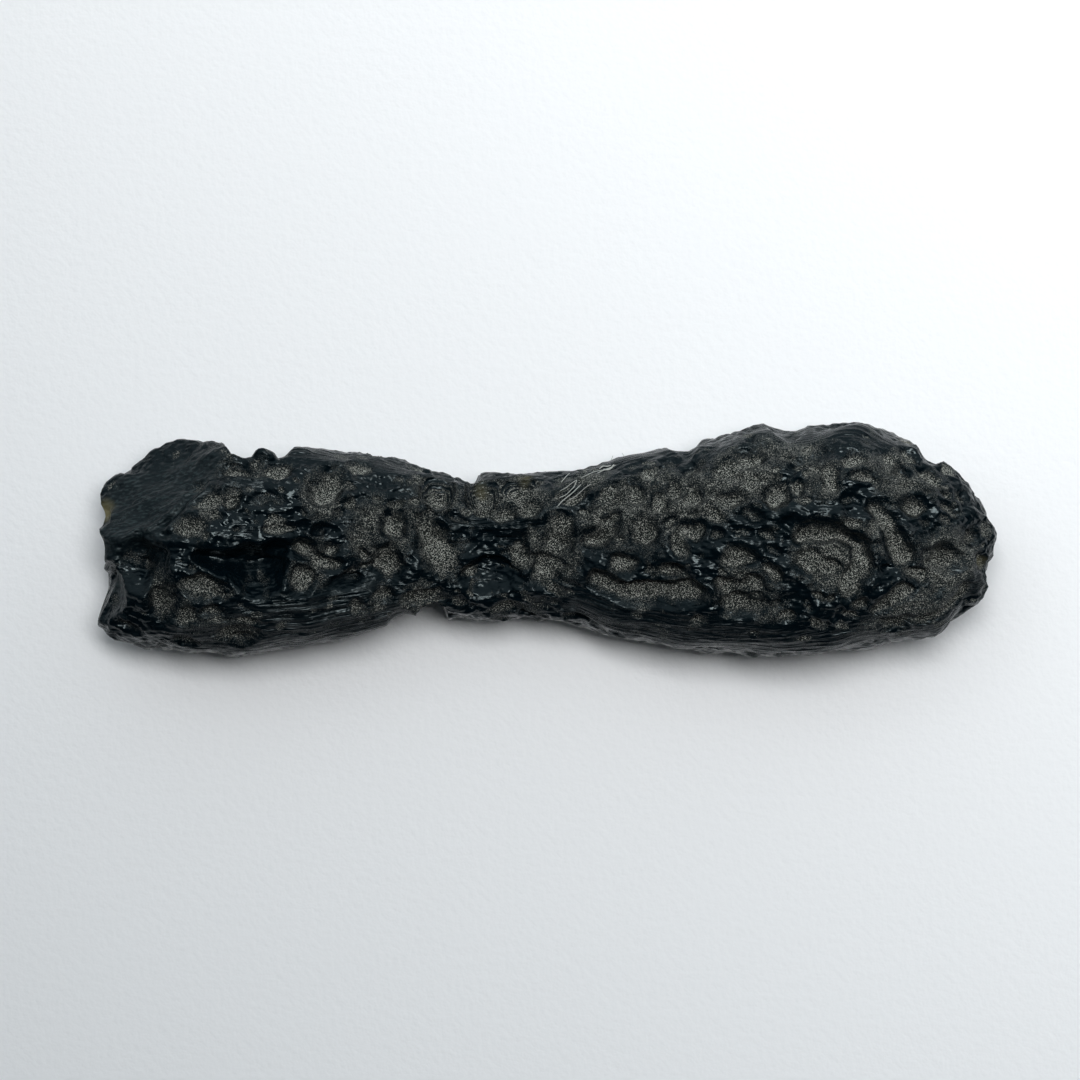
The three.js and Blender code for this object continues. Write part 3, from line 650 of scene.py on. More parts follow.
rng = np.random.default_rng(PIT_SEED)
pit_x = rng.uniform(*PIT_X, SMALL_PITS)
pit_angle = rng.uniform(0, 2 * math.pi, SMALL_PITS)
pit_length = PIT_LENGTH + PIT_SPREAD * rng.random(SMALL_PITS) ** PIT_RARITY
pit_shape = rng.uniform(*PIT_SLIMNESS, SMALL_PITS)
pit_heading = rng.normal(0, PIT_TURN, SMALL_PITS)
pit_frost = rng.random(SMALL_PITS) ** 2 * PIT_FROST
pit_centres = skin(pit_x, pit_angle)
small, pit_frosts = np.zeros((2, rings, SIDES))
for centre, length, squash, heading, matt in zip(
    pit_centres, pit_length, pit_shape, pit_heading, pit_frost
):
    width = length * squash
    shape = oval(centre, length, width, heading)
    near, reach = carve(small, shape, length, width * PIT_DEPTH)
    lift(pit_frosts, near, fading(reach, rim=1, fade=0.3) * matt)
small *= kept(frost, lost=0.75) * kept(smooth, lost=0.90)
print("small pits:", SMALL_PITS, "mean depth", round(float(small.mean()), 3), "mm")

# %% Lumps, waves and grit of the glass
LUMP_WAVES = 9
LUMP_LENGTH = (4, 10)
LUMP_HEIGHT = 0.08
LUMP_SINK = 0.35
WAVE_SIZE, WAVE_HEIGHT, WAVE_SEED = 3.0, 0.30, 2
GRIT = [(1.1, 0.18, 3), (0.6, 0.12, 4)]  # size, height, seed

lumps = np.zeros((rings, SIDES))
for i in range(LUMP_WAVES):
    turn = 2 * math.pi * i * GOLDEN_SHARE
    direction = unit(np.array([math.cos(turn), math.sin(turn), blend(-1, 1, scatter(i, 5))]))
    waves = lump @ direction / blend(*LUMP_LENGTH, scatter(i, 6))
    lumps += LUMP_HEIGHT * np.sin(2 * math.pi * (waves + scatter(i, 7)))
lumps *= np.minimum(foot_distance(lump) / FOOT_RADIUS, 1)

waves = noise_field(lump, WAVE_SIZE, WAVE_SEED) * WAVE_HEIGHT * kept(smooth, lost=0.6)
grit = sum(noise_field(lump, size, seed) * height for size, height, seed in GRIT)
grit *= kept(frost, lost=0.6) * kept(smooth, lost=0.95)
print("lumps up to", round(float(lumps.max()), 2), "mm, grit up to", round(float(grit.max()), 2))

# %% [markdown]
# Along the flanks the glass shows its flow: fine ridges that run the length of the stone in
# slow waves, left standing because streaks of slightly different glass etch at different
# speeds. Each row of a flow table is a patch with a heading, a spacing and a height. Noise
# that is stretched along the patch and folded at zero gives sharp crests that wander, split
# and join. On the flanks it is stretched along the unrolled skin instead, so it follows it
# round.

# %% Flow ridges
FLOWS = [  # x, y, length, width, heading, spacing, height
    [-39.6, 5.6, 12.5, 7.0, 38, 0.8, 0.10],
    [25.4, 8.2, 5.0, 3.2, 45, 0.8, 0.16],
    [20.6, 1.2, 8.0, 4.4, -24, 1.0, 0.34],
    [33.6, 0.6, 4.0, 6.0, -20, 0.9, 0.20],
    [7.0, -7.4, 12.0, 2.8, -6, 0.9, 0.26],
    [-20.0, -5.6, 14.0, 3.0, 0, 0.9, 0.26],
    [-31.5, 6.6, 8.0, 4.0, -20, 1.0, 0.16],
    [-5.0, 3.0, 10.0, 5.0, -14, 1.0, 0.16],
    [41.0, -3.0, 6.0, 9.0, 70, 1.1, 0.20],
]
FLANK_FLOWS = [  # x, y, length, width, heading, spacing, height
    [-24.0, -9.4, 30.0, 9.0, 6, 0.9, 0.26],
    [14.0, -9.6, 34.0, 6.4, -3, 0.8, 0.26],
    [35.0, -9.0, 20.0, 6.6, 24, 0.9, 0.26],
    [-22.0, 9.0, 26.0, 3.6, -6, 0.9, 0.18],
    [8.0, 8.6, 16.0, 3.0, 14, 0.9, 0.16],
    [28.0, 11.0, 20.0, 3.0, 0, 0.9, 0.16],
]
FLOW_STRETCH = 7
FLANK_STRETCH = 14
FLOW_SEED = 5
LUMP_GIRTH = 62
MEANDER, MEANDER_SIZE, MEANDER_SEED = 1.2, 6.0, 8

flow, striae, flank = np.zeros((3, rings, SIDES))
round_stone = np.broadcast_to(angles / (2 * math.pi) * LUMP_GIRTH, (rings, SIDES))
along_stone = np.broadcast_to(ring_x[:, None] / FLANK_STRETCH, (rings, SIDES))
meander = MEANDER * noise_field(lump, MEANDER_SIZE, MEANDER_SEED)
net_places = np.stack([along_stone, round_stone + meander, 0 * along_stone], -1)
for rows, mask, fade, crest in (FLANK_FLOWS, flank, 0.4, 0.3), (FLOWS, striae, 0.5, 0.35):
    for x, y, length, width, heading, spacing, height in rows:
        shape = oval(on_top(x, y), length, width, heading)
        near = rings_near(x, length)
        patch = fading(oval_reach(shape, wandering[near]), rim=1.15, fade=fade)
        places = net_places[near]
        if mask is striae:
            offset = lump[near] - shape[0]
            along = offset @ unit(shape[1]) / FLOW_STRETCH
            places = np.stack([along, offset @ unit(shape[2]), 0 * along], -1)
        lines = noise_field(places, spacing, FLOW_SEED)
        flow[near] += patch * height * (crest - np.abs(lines))
        lift(mask, near, patch)
flow *= kept(frost, lost=0.6)
small *= kept(flank, lost=0.85)
grit *= kept(flank, lost=0.9)
waves *= kept(flank, lost=0.8)
striae = np.maximum(striae, flank) * kept(smooth, lost=1)
print("flow ridges up to", round(float(flow.max()), 2), "mm")

# %% The finished points
etching = broad + fine + small - proud - lumps + LUMP_SINK + waves + grit - flow
stone = lump + inward(lump) * etching[..., None]
under_feet = [stone[np.abs(ring_x - x) < FOOT_RADIUS, :, 2].min() for x in FOOT_X]
floor = max(under_feet) + FOOT_WEAR
stone[..., 2] = np.maximum(stone[..., 2], floor)
low, high = stone.reshape(-1, 3).min(0), stone.reshape(-1, 3).max(0)
cad_low, cad_high = (np.array(corner) / MM for corner in cad_box)
stone -= [*(low + high)[:2] / 2, floor]
stone *= np.minimum((cad_high - cad_low) / (high - low + [0, 0, low[2] - floor]), 1)
stone += [*(cad_low + cad_high)[:2] / 2, cad_low[2]]
print("size", np.round(high - low, 2), "mm, solid model", np.round(cad_high - cad_low, 2), "mm")

# %% [markdown]
# ## The mesh
# Each cell of the net is cut along its shorter diagonal, which follows crests and rims best.
# The map for the export runs along the stone one way and round it the other, so the stone
# unrolls in one piece like a label.

# %% Faces and the unrolled map
TRIANGLES_ALONG_AD = np.array([[(0, 0), (1, 1), (1, 0)], [(0, 0), (0, 1), (1, 1)]])
TRIANGLES_ALONG_BC = np.array([[(0, 0), (0, 1), (1, 0)], [(0, 1), (1, 1), (1, 0)]])


def point_number(ring, side):
    number = np.clip(ring, 0, rings - 1) * SIDES + side % SIDES
    number = np.where(ring < 0, rings * SIDES, number)
    return np.where(ring >= rings, rings * SIDES + 1, number)


tips = np.stack([stone[0].mean(0), stone[-1].mean(0)])
points = np.concatenate([stone.reshape(-1, 3), tips])
cells = np.stack(np.meshgrid(np.arange(-1, rings), np.arange(SIDES), indexing="ij"), -1)
a, b, c, d = (
    points[point_number(cells[..., 0] + step_ring, cells[..., 1] + step_side)]
    for step_ring, step_side in [(0, 0), (0, 1), (1, 0), (1, 1)]
)
short_ad = np.linalg.norm(a - d, axis=-1) < np.linalg.norm(b - c, axis=-1)
steps = np.where(short_ad[..., None, None, None], TRIANGLES_ALONG_AD, TRIANGLES_ALONG_BC)
corners = (cells[..., None, None, :] + steps).reshape(-1, 3, 2)
faces = point_number(corners[..., 0], corners[..., 1])
whole = (faces[:, 0] != faces[:, 1]) & (faces[:, 1] != faces[:, 2]) & (faces[:, 2] != faces[:, 0])
corners, faces = corners[whole], faces[whole]
unrolled = np.stack([(corners[..., 0] + 1) / (rings + 1), corners[..., 1] / SIDES], -1)
print("triangles:", len(faces))

# %% The mesh object
def put(name, data):
    placed = bpy.data.objects.new(name, data)
    bpy.context.collection.objects.link(placed)
    return placed


stone_mesh = bpy.data.meshes.new("tektite_stone")
stone_mesh.vertices.add(len(points))
stone_mesh.vertices.foreach_set("co", (points * MM).ravel())
stone_mesh.loops.add(faces.size)
stone_mesh.loops.foreach_set("vertex_index", faces.ravel().astype(np.int32))
stone_mesh.polygons.add(len(faces))
stone_mesh.polygons.foreach_set("loop_start", np.arange(0, faces.size, 3, dtype=np.int32))
stone_mesh.update(calc_edges=True)
stone_mesh.validate()
stone_mesh.shade_smooth()
stone_map = stone_mesh.uv_layers.new(name="OFBake")
stone_map.data.foreach_set("uv", unrolled.ravel())
tektite = put("tektite_stone", stone_mesh)
print("points:", len(stone_mesh.vertices), "faces:", len(stone_mesh.polygons))

# %% [markdown]
# ## Where each finish lies
# The material needs to know where the skin is matt and dusty, where it is smooth, satin or
# streaked, where fine rings run, where the glass is so thin that light comes through, and
# which way each wall faces the lamp, for painted light and shade. Each is painted on the
# points as a number, an attribute, which the material reads by name. The dust number is also
# lower on walls that face away from the lamp, a painted shade. All but the ring radius run
# from 0 to 1.

# %% Thin edges that let light through
THIN_EDGES = [  # x, y, radius, strength
    [-44.8, 4.3, 1.3, 1.0],
    [-6.6, 6.2, 0.7, 0.4],
    [-2.2, 6.6, 0.7, 0.5],
    [35.9, 10.2, 0.8, 0.5],
    [44.3, -2.5, 0.7, 0.4],
]
# The olive given to these places is painted light that comes through the thin glass.
thin = np.zeros((rings, SIDES))
for x, y, radius, strength in THIN_EDGES:
    reach = np.linalg.norm(lump - on_top(x, y), axis=-1) / radius
    thin = np.maximum(thin, fading(reach, rim=1.3, fade=1) * strength)
print("points on thin edges:", int((thin > 0.5).sum()))

# %% Steep walls, where little dust stays
LEAST_STEP = 0.05  # mm, keeps the slope from running off at the tips
WALL_SLOPE, WALL_SPAN = 0.5, 0.7


def across_point(values, way):
    return np.roll(values, -1, way) - np.roll(values, 1, way)


slopes = []
for way in range(2):
    step = np.linalg.norm(across_point(lump, way), axis=-1)
    slopes.append(across_point(etching, way) / np.maximum(step, LEAST_STEP))
walls = np.clip((np.hypot(*slopes) - WALL_SLOPE) / WALL_SPAN, 0, 1)
print("share of the skin that is steep:", round(float((walls > 0.5).mean()), 2))

# %% Painted shade and painted light by which way the walls face the lamp
SHADED_SIDE = (-0.55, -0.83, 0)
SHADE_FROM, SHADE_SPAN = 0.30, 0.40
LIT_SIDE_LEVEL, LIT_SIDE_TILT = 0.5, 0.8
NO_LENGTH = 1e-9  # avoids dividing by 0 where a point has no area

facing = unit(np.cross(across_point(stone, 1), across_point(stone, 0)) + NO_LENGTH)
if facing[rings // 2, SIDES // 4, 2] < 0:
    facing = -facing
away = facing @ np.array(SHADED_SIDE)
# Painted shade: walls that face away from the lamp lose dust, so dark glass shows there.
painted_shade = np.clip((away - SHADE_FROM) / SHADE_SPAN, 0, 1)
# Painted light: walls that face the lamp get a higher number, which makes their dust paler.
lit_side = np.clip(LIT_SIDE_LEVEL - LIT_SIDE_TILT * away, 0, 1)
print("share of the skin that is clean:", round(float((painted_shade > 0.5).mean()), 2))

# %% Paint the finishes on the points
dusty = np.maximum(np.maximum(frost, field), pit_frosts * kept(smooth, lost=1))
# Less dust where the walls face away from the lamp is a painted shade.
dust_left_and_painted_shade = kept(smooth, lost=0.8) * kept(walls, lost=0.5) * kept(painted_shade, lost=0.5)
painted = {
    "dusty": dusty * dust_left_and_painted_shade, "smooth_glass": smooth, "satin": satin,
    "ring_radius": ring_radius, "painted_lit_side": lit_side, "streaked": striae, "thin": thin,
}
for name, values in painted.items():
    layer = stone_mesh.attributes.new(name, "FLOAT", "POINT")
    spread = np.concatenate([values.ravel(), [values[0].mean(), values[-1].mean()]])
    layer.data.foreach_set("value", spread.astype(np.float32))
print("mean dust:", round(float(dusty.mean()), 2))

# %% [markdown]
# ## Etched black glass
# Tektite glass is a high-silica natural glass, near black because a thick piece lets no light
# through. Its surface was frozen from a melt and then etched by soil water. Where it is
# clear, it mirrors the room faintly and a little coldly, less than fresh glass of IOR 1.5
# because it has weathered. Where it is etched, a rough skin holds pale soil dust in its grain,
# which reads as warm grey.

# %% Colours and a helper for nodes
def colour(hex_code):
    parts = [int(hex_code[i : i + 2], 16) / 255 for i in (1, 3, 5)]
    linear = [p / 12.92 if p <= 0.04045 else ((p + 0.055) / 1.055) ** 2.4 for p in parts]
    return (*linear, 1.0)


def add(tree, kind, settings, inputs):
    node = tree.nodes.new(kind)
    for name, value in settings.items():
        setattr(node, name, value)
    for name, value in inputs.items():
        named = [s for s in node.inputs if s.enabled and name in (s.name, s.identifier)]
        socket = node.inputs[name] if isinstance(name, int) else named[0]
        if isinstance(value, bpy.types.Node):
            value = next(output for output in value.outputs if output.enabled)
        if isinstance(value, bpy.types.NodeSocket):
            tree.links.new(value, socket)
        else:
            socket.default_value = value
    return node


def cleared(data):
    data.use_nodes = True
    data.node_tree.nodes.clear()
    return data.node_tree


BLACK_GLASS = colour("#030b10")
print("black glass in linear numbers:", [round(v, 4) for v in BLACK_GLASS])

# %% The places painted on the stone
glass = bpy.data.materials.new("etched_black_glass")
tree = cleared(glass)
place = add(tree, "ShaderNodeTexCoord", {}, {}).outputs["Object"]
dust_and_shade_places, smooth_places, satin_places, ring_radii, painted_lit_sides, streaked_places, thin_places = (
    add(tree, "ShaderNodeAttribute", {"attribute_name": name}, {}).outputs["Fac"]
    for name in painted
)
print("material:", glass.name)

# %% [markdown]
# Soil dust is silt of about 0.01 to 0.06 mm, far too fine to draw. It shows as clusters, so
# the grain here is 0.1 mm, and a second noise of 2.4 mm makes some hollows dustier than
# others. In three scoops fine rings hold it in bands. The painted number is pushed up and
# down by all of these, then cut with a soft step, so the dust ends in a ragged edge and never
# in a smooth fade. The grain also tones it, from black pores to pale specks that are partly
# heaped silt and partly painted glints. Walls that face the lamp are pushed paler, a painted
# light.

# %% Dust in the etched places, with painted light and glints
GRAIN_SIZE, GRAIN_PUSH = 0.105 * MM, 0.7
CLOUD_SIZE, CLOUD_PUSH = 2.4 * MM, 0.9
RING_SPACING, RING_PUSH = 0.36, 0.35  # mm, coarser than the real rings so that they show
LIT_SIDE_PUSH = 0.08
dust_grain, dust_clouds = (
    add(tree, "ShaderNodeTexNoise", {}, {
        "Vector": place, "Scale": 1 / size, "Detail": detail, "Roughness": 0.5,
    })
    for size, detail in ((GRAIN_SIZE, 1.0), (CLOUD_SIZE, 3.0))
)
ring_turns = add(tree, "ShaderNodeMath", {"operation": "MULTIPLY"}, {
    0: ring_radii, 1: 2 * math.pi / RING_SPACING,
})
ring_waves = add(tree, "ShaderNodeMath", {"operation": "SINE"}, {0: ring_turns})
pushed = dust_and_shade_places
for cause, push in (dust_grain, GRAIN_PUSH), (dust_clouds, CLOUD_PUSH), (ring_waves, RING_PUSH):
    pushed = add(tree, "ShaderNodeMath", {"operation": "MULTIPLY_ADD"}, {
        0: cause, 1: push, 2: pushed,
    })
# This dust number is also lower where walls face away from the lamp, a painted shade.
dust = add(tree, "ShaderNodeMapRange", {"interpolation_type": "SMOOTHSTEP"}, {
    "Value": pushed, "From Min": 1.02, "From Max": 1.62,
})
# The side that faces the lamp is pushed towards the pale end of the ramp, a painted light.
dust_grain_and_painted_light = add(tree, "ShaderNodeMath", {"operation": "MULTIPLY_ADD"}, {
    0: painted_lit_sides, 1: LIT_SIDE_PUSH, 2: dust_grain,
})
dust_tones_and_painted_light = add(tree, "ShaderNodeValToRGB", {}, {"Fac": dust_grain_and_painted_light})
ramp = dust_tones_and_painted_light.color_ramp.elements
# The palest stop is partly heaped silt and partly painted glints.
ramp[0].position, ramp[0].color = 0.495, colour("#030404")  # pores
ramp[1].position, ramp[1].color = 0.58, colour("#1e2321")  # thin silt
ramp.new(0.685).color = colour("#9b9c95")  # heaped silt
print("dust nodes:", len(tree.nodes))

# %% [markdown]
# The clear glass is nearly black with a cold cast. Satin places carry hair-fine pale marks
# that run with the stripes of the facet, so the noise for them is turned and drawn out that
# way: the stripes are real relief, their paleness is a painted sheen. On the thin edges the
# colour is painted olive, standing in for the light that comes through a millimetre or two of
# iron-bearing glass.

# %% Colour
FACET_HEADING = math.radians(38)
MARK_WIDTH = 0.24 * MM
satin_map = add(tree, "ShaderNodeMapping", {}, {
    "Vector": place, "Rotation": (0, 0, -FACET_HEADING), "Scale": (0.3, 1, 1),
})
satin_lines = add(tree, "ShaderNodeTexNoise", {}, {
    "Vector": satin_map, "Scale": 1 / MARK_WIDTH, "Detail": 2.0, "Roughness": 0.6,
})
painted_sheen_marks = add(tree, "ShaderNodeMapRange", {"interpolation_type": "SMOOTHSTEP"}, {
    "Value": satin_lines, "From Min": 0.46, "From Max": 0.68,
})
painted_sheen_share = add(tree, "ShaderNodeMath", {"operation": "MULTIPLY"}, {
    0: painted_sheen_marks, 1: satin_places,
})
# The pale marks mixed into the black glass are a painted sheen along the facet's stripes.
black_glass_and_painted_sheen = add(tree, "ShaderNodeMix", {"data_type": "RGBA"}, {
    "Factor": painted_sheen_share, "A": BLACK_GLASS, "B": colour("#262f31"),
})
black_or_dust = add(tree, "ShaderNodeMix", {"data_type": "RGBA"}, {
    "Factor": dust, "A": black_glass_and_painted_sheen, "B": dust_tones_and_painted_light,
})
# The olive on thin edges is painted light that comes through the glass.
with_thin_edges = add(tree, "ShaderNodeMix", {"data_type": "RGBA"}, {
    "Factor": thin_places, "A": black_or_dust, "B": colour("#5f5a41"),
})
print("colour nodes:", len(tree.nodes))

# %% [markdown]
# Under the dust the etched skin is matt. The clear glass is glossy, but weathering has left
# it with a fine tooth, so its roughness runs from 0.12 to 0.34. Satin places stay at 0.42.

# %% Gloss
WEATHER_SIZE = 1.2 * MM
SATIN_ROUGHNESS, DUST_ROUGHNESS = 0.42, 0.80
weather = add(tree, "ShaderNodeTexNoise", {}, {
    "Vector": place, "Scale": 1 / WEATHER_SIZE, "Detail": 2.0, "Roughness": 0.6,
})
clear_roughness = add(tree, "ShaderNodeMapRange", {}, {
    "Value": weather, "From Min": 0.3, "From Max": 0.7, "To Min": 0.12, "To Max": 0.34,
})
glass_roughness = add(tree, "ShaderNodeMix", {"data_type": "FLOAT"}, {
    "Factor": satin_places, "A": clear_roughness, "B": SATIN_ROUGHNESS,
})
roughness = add(tree, "ShaderNodeMix", {"data_type": "FLOAT"}, {
    "Factor": dust, "A": glass_roughness, "B": DUST_ROUGHNESS,
})
print("gloss nodes:", len(tree.nodes))

# %% [markdown]
# The last relief is too fine for the net: a tooth of 0.36 mm all over, and beads of about
# 0.9 mm that give the points of light between the scoops. Both are drawn out a little along
# the stone, as the glass flowed. Along the flanks a third noise draws the finest flow lines.
# It reads the unrolled map, where it is measured in millimetres and stretched twelve times
# along the stone. Smooth places, dust and streaks each take part of the tooth and beads away.

# %% Fine relief
TOOTH_SIZE, TOOTH_SHARE = 0.36 * MM, 0.36
BEAD_SIZE = 0.9 * MM
STREAK_WIDTH, STREAK_STRETCH = 0.45, 12  # width in mm
STONE_LENGTH = 90
RING_RELIEF = 0.15
RELIEF_HEIGHT = 0.34 * MM
drawn_out = add(tree, "ShaderNodeMapping", {}, {"Vector": place, "Scale": (0.55, 1, 1)})
unrolled_place = add(tree, "ShaderNodeUVMap", {"uv_map": "OFBake"}, {})
stretched = add(tree, "ShaderNodeMapping", {}, {
    "Vector": unrolled_place, "Scale": (STONE_LENGTH / STREAK_STRETCH, LUMP_GIRTH, 1),
})
tooth, beads, streaks = (
    add(tree, "ShaderNodeTexNoise", {}, {
        "Vector": where, "Scale": 1 / size, "Detail": detail, "Roughness": 0.5,
    })
    for where, size, detail in (
        (drawn_out, TOOTH_SIZE, 0.0), (drawn_out, BEAD_SIZE, 1.0), (stretched, STREAK_WIDTH, 2.0)
    )
)
flow_height = add(tree, "ShaderNodeMath", {"operation": "MULTIPLY"}, {
    0: streaks, 1: streaked_places,
})
toned_height = add(tree, "ShaderNodeMath", {"operation": "MULTIPLY_ADD"}, {
    0: tooth, 1: TOOTH_SHARE, 2: beads,
})
for mask, share_left in (smooth_places, 0.65), (dust, 0.35), (streaked_places, 0.45):
    left = add(tree, "ShaderNodeMapRange", {}, {
        "Value": mask, "To Min": 1.0, "To Max": share_left,
    })
    toned_height = add(tree, "ShaderNodeMath", {"operation": "MULTIPLY"}, {
        0: toned_height, 1: left,
    })
lined_height = add(tree, "ShaderNodeMath", {"operation": "ADD"}, {0: toned_height, 1: flow_height})
height = add(tree, "ShaderNodeMath", {"operation": "MULTIPLY_ADD"}, {
    0: ring_waves, 1: RING_RELIEF, 2: lined_height,
})
bump = add(tree, "ShaderNodeBump", {}, {
    "Height": height, "Strength": 1.0, "Distance": RELIEF_HEIGHT,
})
print("relief nodes:", len(tree.nodes))

# %% The glass itself
surface = add(tree, "ShaderNodeBsdfPrincipled", {}, {
    "Base Color": with_thin_edges, "Roughness": roughness, "IOR": 1.50, "Normal": bump,
    "Specular IOR Level": 0.24, "Specular Tint": colour("#eafcff"),
})
add(tree, "ShaderNodeOutputMaterial", {}, {"Surface": surface})
stone_mesh.materials.append(glass)
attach(tektite, "root")
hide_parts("tektite")
print("material nodes:", len(tree.nodes))

# %% [markdown]
# ## Lint
# A few pale cotton fibres have caught on the rough skin. Each is a thin tube that follows a
# smooth curve through a few points, lying on the glass. A real fibre is about 0.02 mm thick,
# which would vanish, so these are drawn coarser. They are debris, so the solid hasn't them.

# %% Routes of the fibres
LINT_ROUTES = [  # radius, height above the glass, then x, y points
    [
        0.05, 0.06, (1.0, 3.3), (1.6, 4.0), (2.6, 4.7), (3.3, 5.5), (4.3, 6.2), (5.4, 6.9),
        (6.3, 7.2), (6.9, 7.5),
    ],
    [0.035, 0.06, (1.3, 4.9), (1.9, 5.2), (2.6, 5.8), (3.4, 6.2), (4.6, 6.8), (5.6, 7.0)],
    [0.040, 0.05, (1.2, 4.2), (1.9, 4.5), (2.7, 5.3), (3.0, 6.0)],
    [0.035, 0.05, (2.0, 3.9), (2.8, 4.3), (3.9, 5.3), (4.4, 5.6)],
    [0.045, 0.05, (1.4, 5.75), (1.9, 6.35), (2.3, 6.7)],
    [0.08, 0.10, (5.6, 7.05), (6.1, 7.0), (6.45, 7.2), (6.7, 7.55)],
    [0.06, 0.12, (5.2, 7.1), (5.6, 7.4), (6.0, 7.35), (6.4, 7.45)],
    [0.025, 0.40, (6.35, 7.9), (6.5, 8.2), (6.6, 8.45)],
    [0.025, 0.40, (7.75, 8.3), (7.6, 8.55), (7.5, 8.7)],
]
FIBRE_STEPS = 24
FIBRE_SIDES = 6
SMOOTHINGS = 3
TIP_SHARE, TIP_GROWTH = 0.3, 3  # thickness at the very tip, and how fast it grows
print("fibres:", len(LINT_ROUTES))

# %% Tubes along the routes
upper = stone[stone[..., 2] > stone[..., 2].mean()]


def rest_on_glass(x, y, gap):
    beside = np.hypot(upper[:, 0] - x, upper[:, 1] - y)
    return np.array([x, y, upper[np.argmin(beside), 2] + gap])


fibre_points, fibre_faces = [], []
around = np.arange(FIBRE_SIDES)[:, None] / FIBRE_SIDES * 2 * math.pi
for radius, gap, *route in LINT_ROUTES:
    stops = np.array([rest_on_glass(x, y, gap) for x, y in route])
    share = np.linspace(0, len(stops) - 1, FIBRE_STEPS)
    centres = np.stack([np.interp(share, range(len(stops)), stops[:, k]) for k in range(3)], -1)
    for _ in range(SMOOTHINGS):
        centres[1:-1] = (centres[:-2] + 2 * centres[1:-1] + centres[2:]) / 4
    ahead = unit(np.gradient(centres, axis=0))
    sideways = unit(np.cross(ahead, [0, 0, 1]))
    upward = np.cross(sideways, ahead)
    from_tip = np.minimum(share, share[::-1])
    taper = radius * np.minimum(from_tip * TIP_GROWTH + TIP_SHARE, 1)[:, None, None]
    first = len(fibre_points) * FIBRE_STEPS * FIBRE_SIDES
    tube = (
        centres[:, None]
        + taper * np.cos(around) * sideways[:, None]
        + taper * np.sin(around) * upward[:, None]
    )
    fibre_points.append(tube.reshape(-1, 3))
    for step in range(FIBRE_STEPS - 1):
        ring = first + step * FIBRE_SIDES
        for side in range(FIBRE_SIDES):
            a, b = ring + side, ring + (side + 1) % FIBRE_SIDES
            fibre_faces.append((a, b, b + FIBRE_SIDES, a + FIBRE_SIDES))
lint_mesh = bpy.data.meshes.new("lint_fibres")
lint_mesh.from_pydata((np.concatenate(fibre_points) * MM).tolist(), [], fibre_faces)
lint_mesh.shade_smooth()
lint_mesh.uv_layers.new(name="OFBake")
lint = put("lint_fibres", lint_mesh)
print("fibre faces:", len(fibre_faces))

# %% [markdown]
# Cotton lint is a matt, dull off-white: cellulose of IOR 1.53 with no gloss to speak of.

# %% Lint material
cotton = bpy.data.materials.new("cotton_lint")
tree = cleared(cotton)
cotton_surface = add(tree, "ShaderNodeBsdfPrincipled", {}, {
    "Base Color": colour("#a9aca8"), "Roughness": 0.9, "IOR": 1.53,
})
add(tree, "ShaderNodeOutputMaterial", {}, {"Surface": cotton_surface})
lint_mesh.materials.append(cotton)
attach(lint, "root")
print("lint material:", cotton.name)

# %% [markdown]
# ## Floor, light and camera
# The stone lies on a plain white board with a fine grain. One large soft lamp high at the
# back right lights both, with a pale room around.

# %% Floor
BOARD_HALF = 1.5
BOARD_GRAIN, GRAIN_HEIGHT = 0.9 * MM, 0.08 * MM
floor_mesh = bpy.data.meshes.new("white_board")
signs = [(-1, -1), (1, -1), (1, 1), (-1, 1)]
board_corners = [(x * BOARD_HALF, y * BOARD_HALF, 0) for x, y in signs]
floor_mesh.from_pydata(board_corners, [], [(0, 1, 2, 3)])
board = put("white_board", floor_mesh)
painted_board = bpy.data.materials.new("matt_white_board")
tree = cleared(painted_board)
board_place = add(tree, "ShaderNodeTexCoord", {}, {}).outputs["Object"]
board_grain = add(tree, "ShaderNodeTexNoise", {}, {
    "Vector": board_place, "Scale": 1 / BOARD_GRAIN, "Detail": 2.0, "Roughness": 0.6,
})
board_bump = add(tree, "ShaderNodeBump", {}, {
    "Height": board_grain, "Strength": 0.8, "Distance": GRAIN_HEIGHT,
})
board_surface = add(tree, "ShaderNodeBsdfPrincipled", {}, {
    "Base Color": colour("#f1f3f5"), "Roughness": 0.55, "Normal": board_bump,
})
add(tree, "ShaderNodeOutputMaterial", {}, {"Surface": board_surface})
floor_mesh.materials.append(painted_board)
print("floor", 2 * BOARD_HALF, "m wide")

# %% Lamp
LAMP_PLACE = Vector((0.19, 0.29, 0.769))
LAMP_AIM = Vector((0.235, 0.305, 0))
lamp = bpy.data.lights.new("ceiling_lamp", "SPOT")
lamp.energy = 67.0
lamp.shadow_soft_size = 0.335
lamp.spot_size = math.radians(50)
lamp.spot_blend = 0.33
lamp_object = put("ceiling_lamp", lamp)
lamp_object.location = LAMP_PLACE
lamp_object.rotation_euler = (LAMP_AIM - LAMP_PLACE).to_track_quat("-Z", "Y").to_euler()
print("lamp", lamp.energy, "W")

# %% [markdown]
# A second, weaker light fills the shadows from above and the left, as the rest of a bright
# ceiling does. It is wide, so it casts no edge. Its mirror image is switched off, because in
# glossy glass it would show as a disc that no real ceiling has.

# %% Soft light from the left
SKYLIGHT_DIRECTION = Vector((-0.36, 0.30, 0.88))
skylight = bpy.data.lights.new("skylight", "SUN")
skylight.energy = 0.40
skylight.angle = math.radians(44)
skylight_object = put("skylight", skylight)
skylight_object.rotation_euler = SKYLIGHT_DIRECTION.to_track_quat("Z", "Y").to_euler()
skylight_object.visible_glossy = False
print("skylight", skylight.energy, "W per square metre")

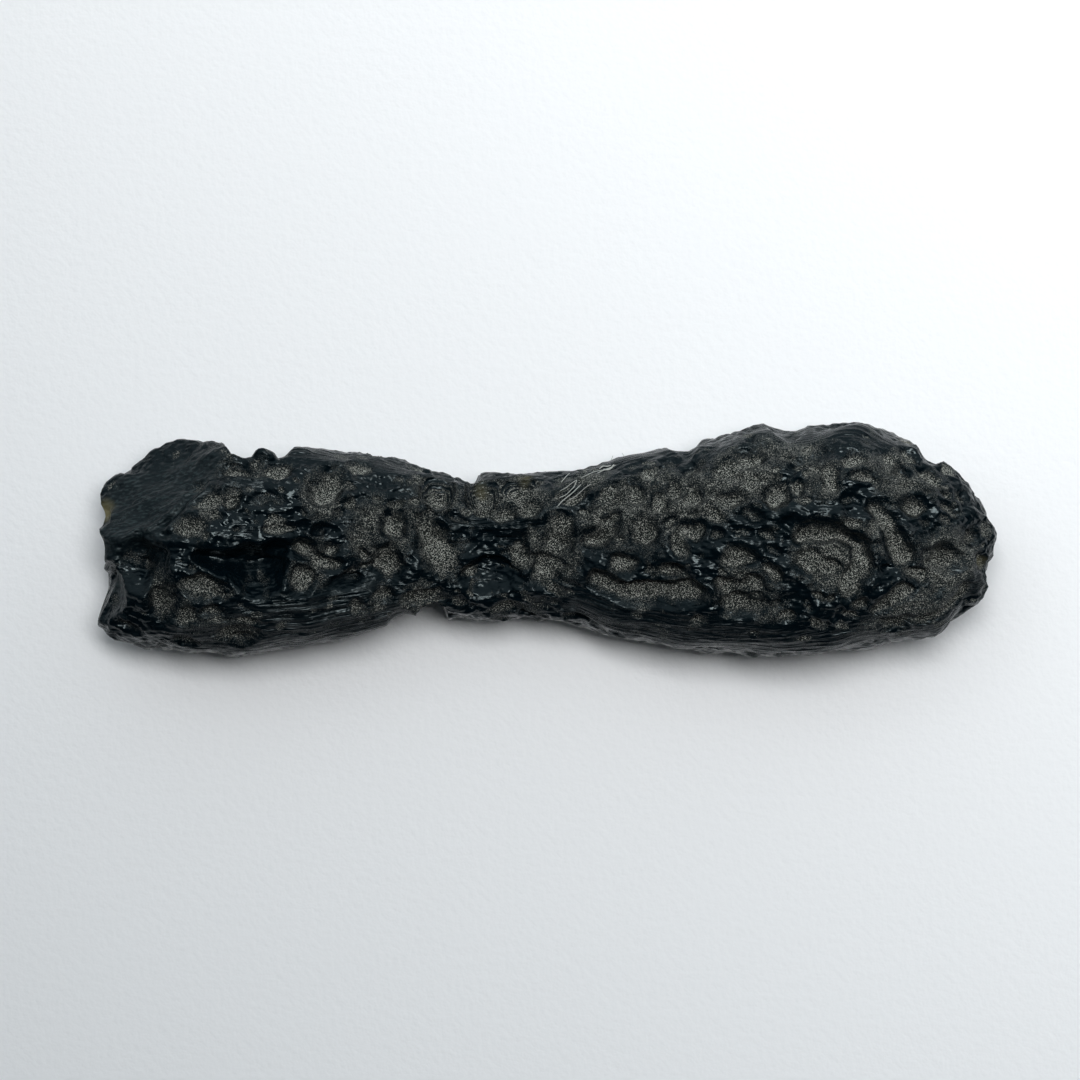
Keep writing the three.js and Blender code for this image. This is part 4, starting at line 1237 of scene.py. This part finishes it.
# %% [markdown]
# The room is brightest towards a window at the back, low over the board, and fades smoothly to
# black on the other side. Right overhead it is dim, because somebody stands over the stone.

# %% Light of the room
WINDOW_DIRECTION = (0.0, 0.906, 0.423)
room = bpy.data.worlds.new("room")
tree = cleared(room)
bpy.context.scene.world = room
direction = add(tree, "ShaderNodeTexCoord", {}, {}).outputs["Generated"]
towards_window = add(tree, "ShaderNodeVectorMath", {"operation": "DOT_PRODUCT"}, {
    0: direction, 1: WINDOW_DIRECTION,
}).outputs["Value"]
window_share = add(tree, "ShaderNodeMapRange", {"interpolation_type": "SMOOTHSTEP"}, {
    "Value": towards_window, "From Min": 0.0, "From Max": 1.0, "To Min": 0.0, "To Max": 0.75,
})
upward = add(tree, "ShaderNodeSeparateXYZ", {}, {"Vector": direction}).outputs["Z"]
overhead_share = add(tree, "ShaderNodeMapRange", {"interpolation_type": "SMOOTHSTEP"}, {
    "Value": upward, "From Min": 0.84, "From Max": 0.97, "To Min": 1.0, "To Max": 0.12,
})
room_share = add(tree, "ShaderNodeMath", {"operation": "MULTIPLY"}, {
    0: window_share, 1: overhead_share,
})
air = add(tree, "ShaderNodeBackground", {}, {"Color": colour("#dfecf2"), "Strength": room_share})
add(tree, "ShaderNodeOutputWorld", {}, {"Surface": air})
print("room nodes:", len(tree.nodes))

# %% [markdown]
# The camera looks straight down from 0.9 m, far enough that the stone's sides hardly show.

# %% Camera
STONE_MIDDLE_HEIGHT = 0.009
VIEW_WIDTH = 0.108
CAMERA_DISTANCE = 0.9
CAMERA_X = -0.0007
camera = bpy.data.cameras.new("camera")
camera.sensor_width = 36
camera.lens = camera.sensor_width * CAMERA_DISTANCE / VIEW_WIDTH
camera.clip_start, camera.clip_end = 0.01, 10
camera_object = put("camera", camera)
camera_object.location = (CAMERA_X, 0.0, STONE_MIDDLE_HEIGHT + CAMERA_DISTANCE)
bpy.context.scene.camera = camera_object
bpy.context.scene.view_settings.view_transform = "Standard"
print("lens", round(camera.lens), "mm")
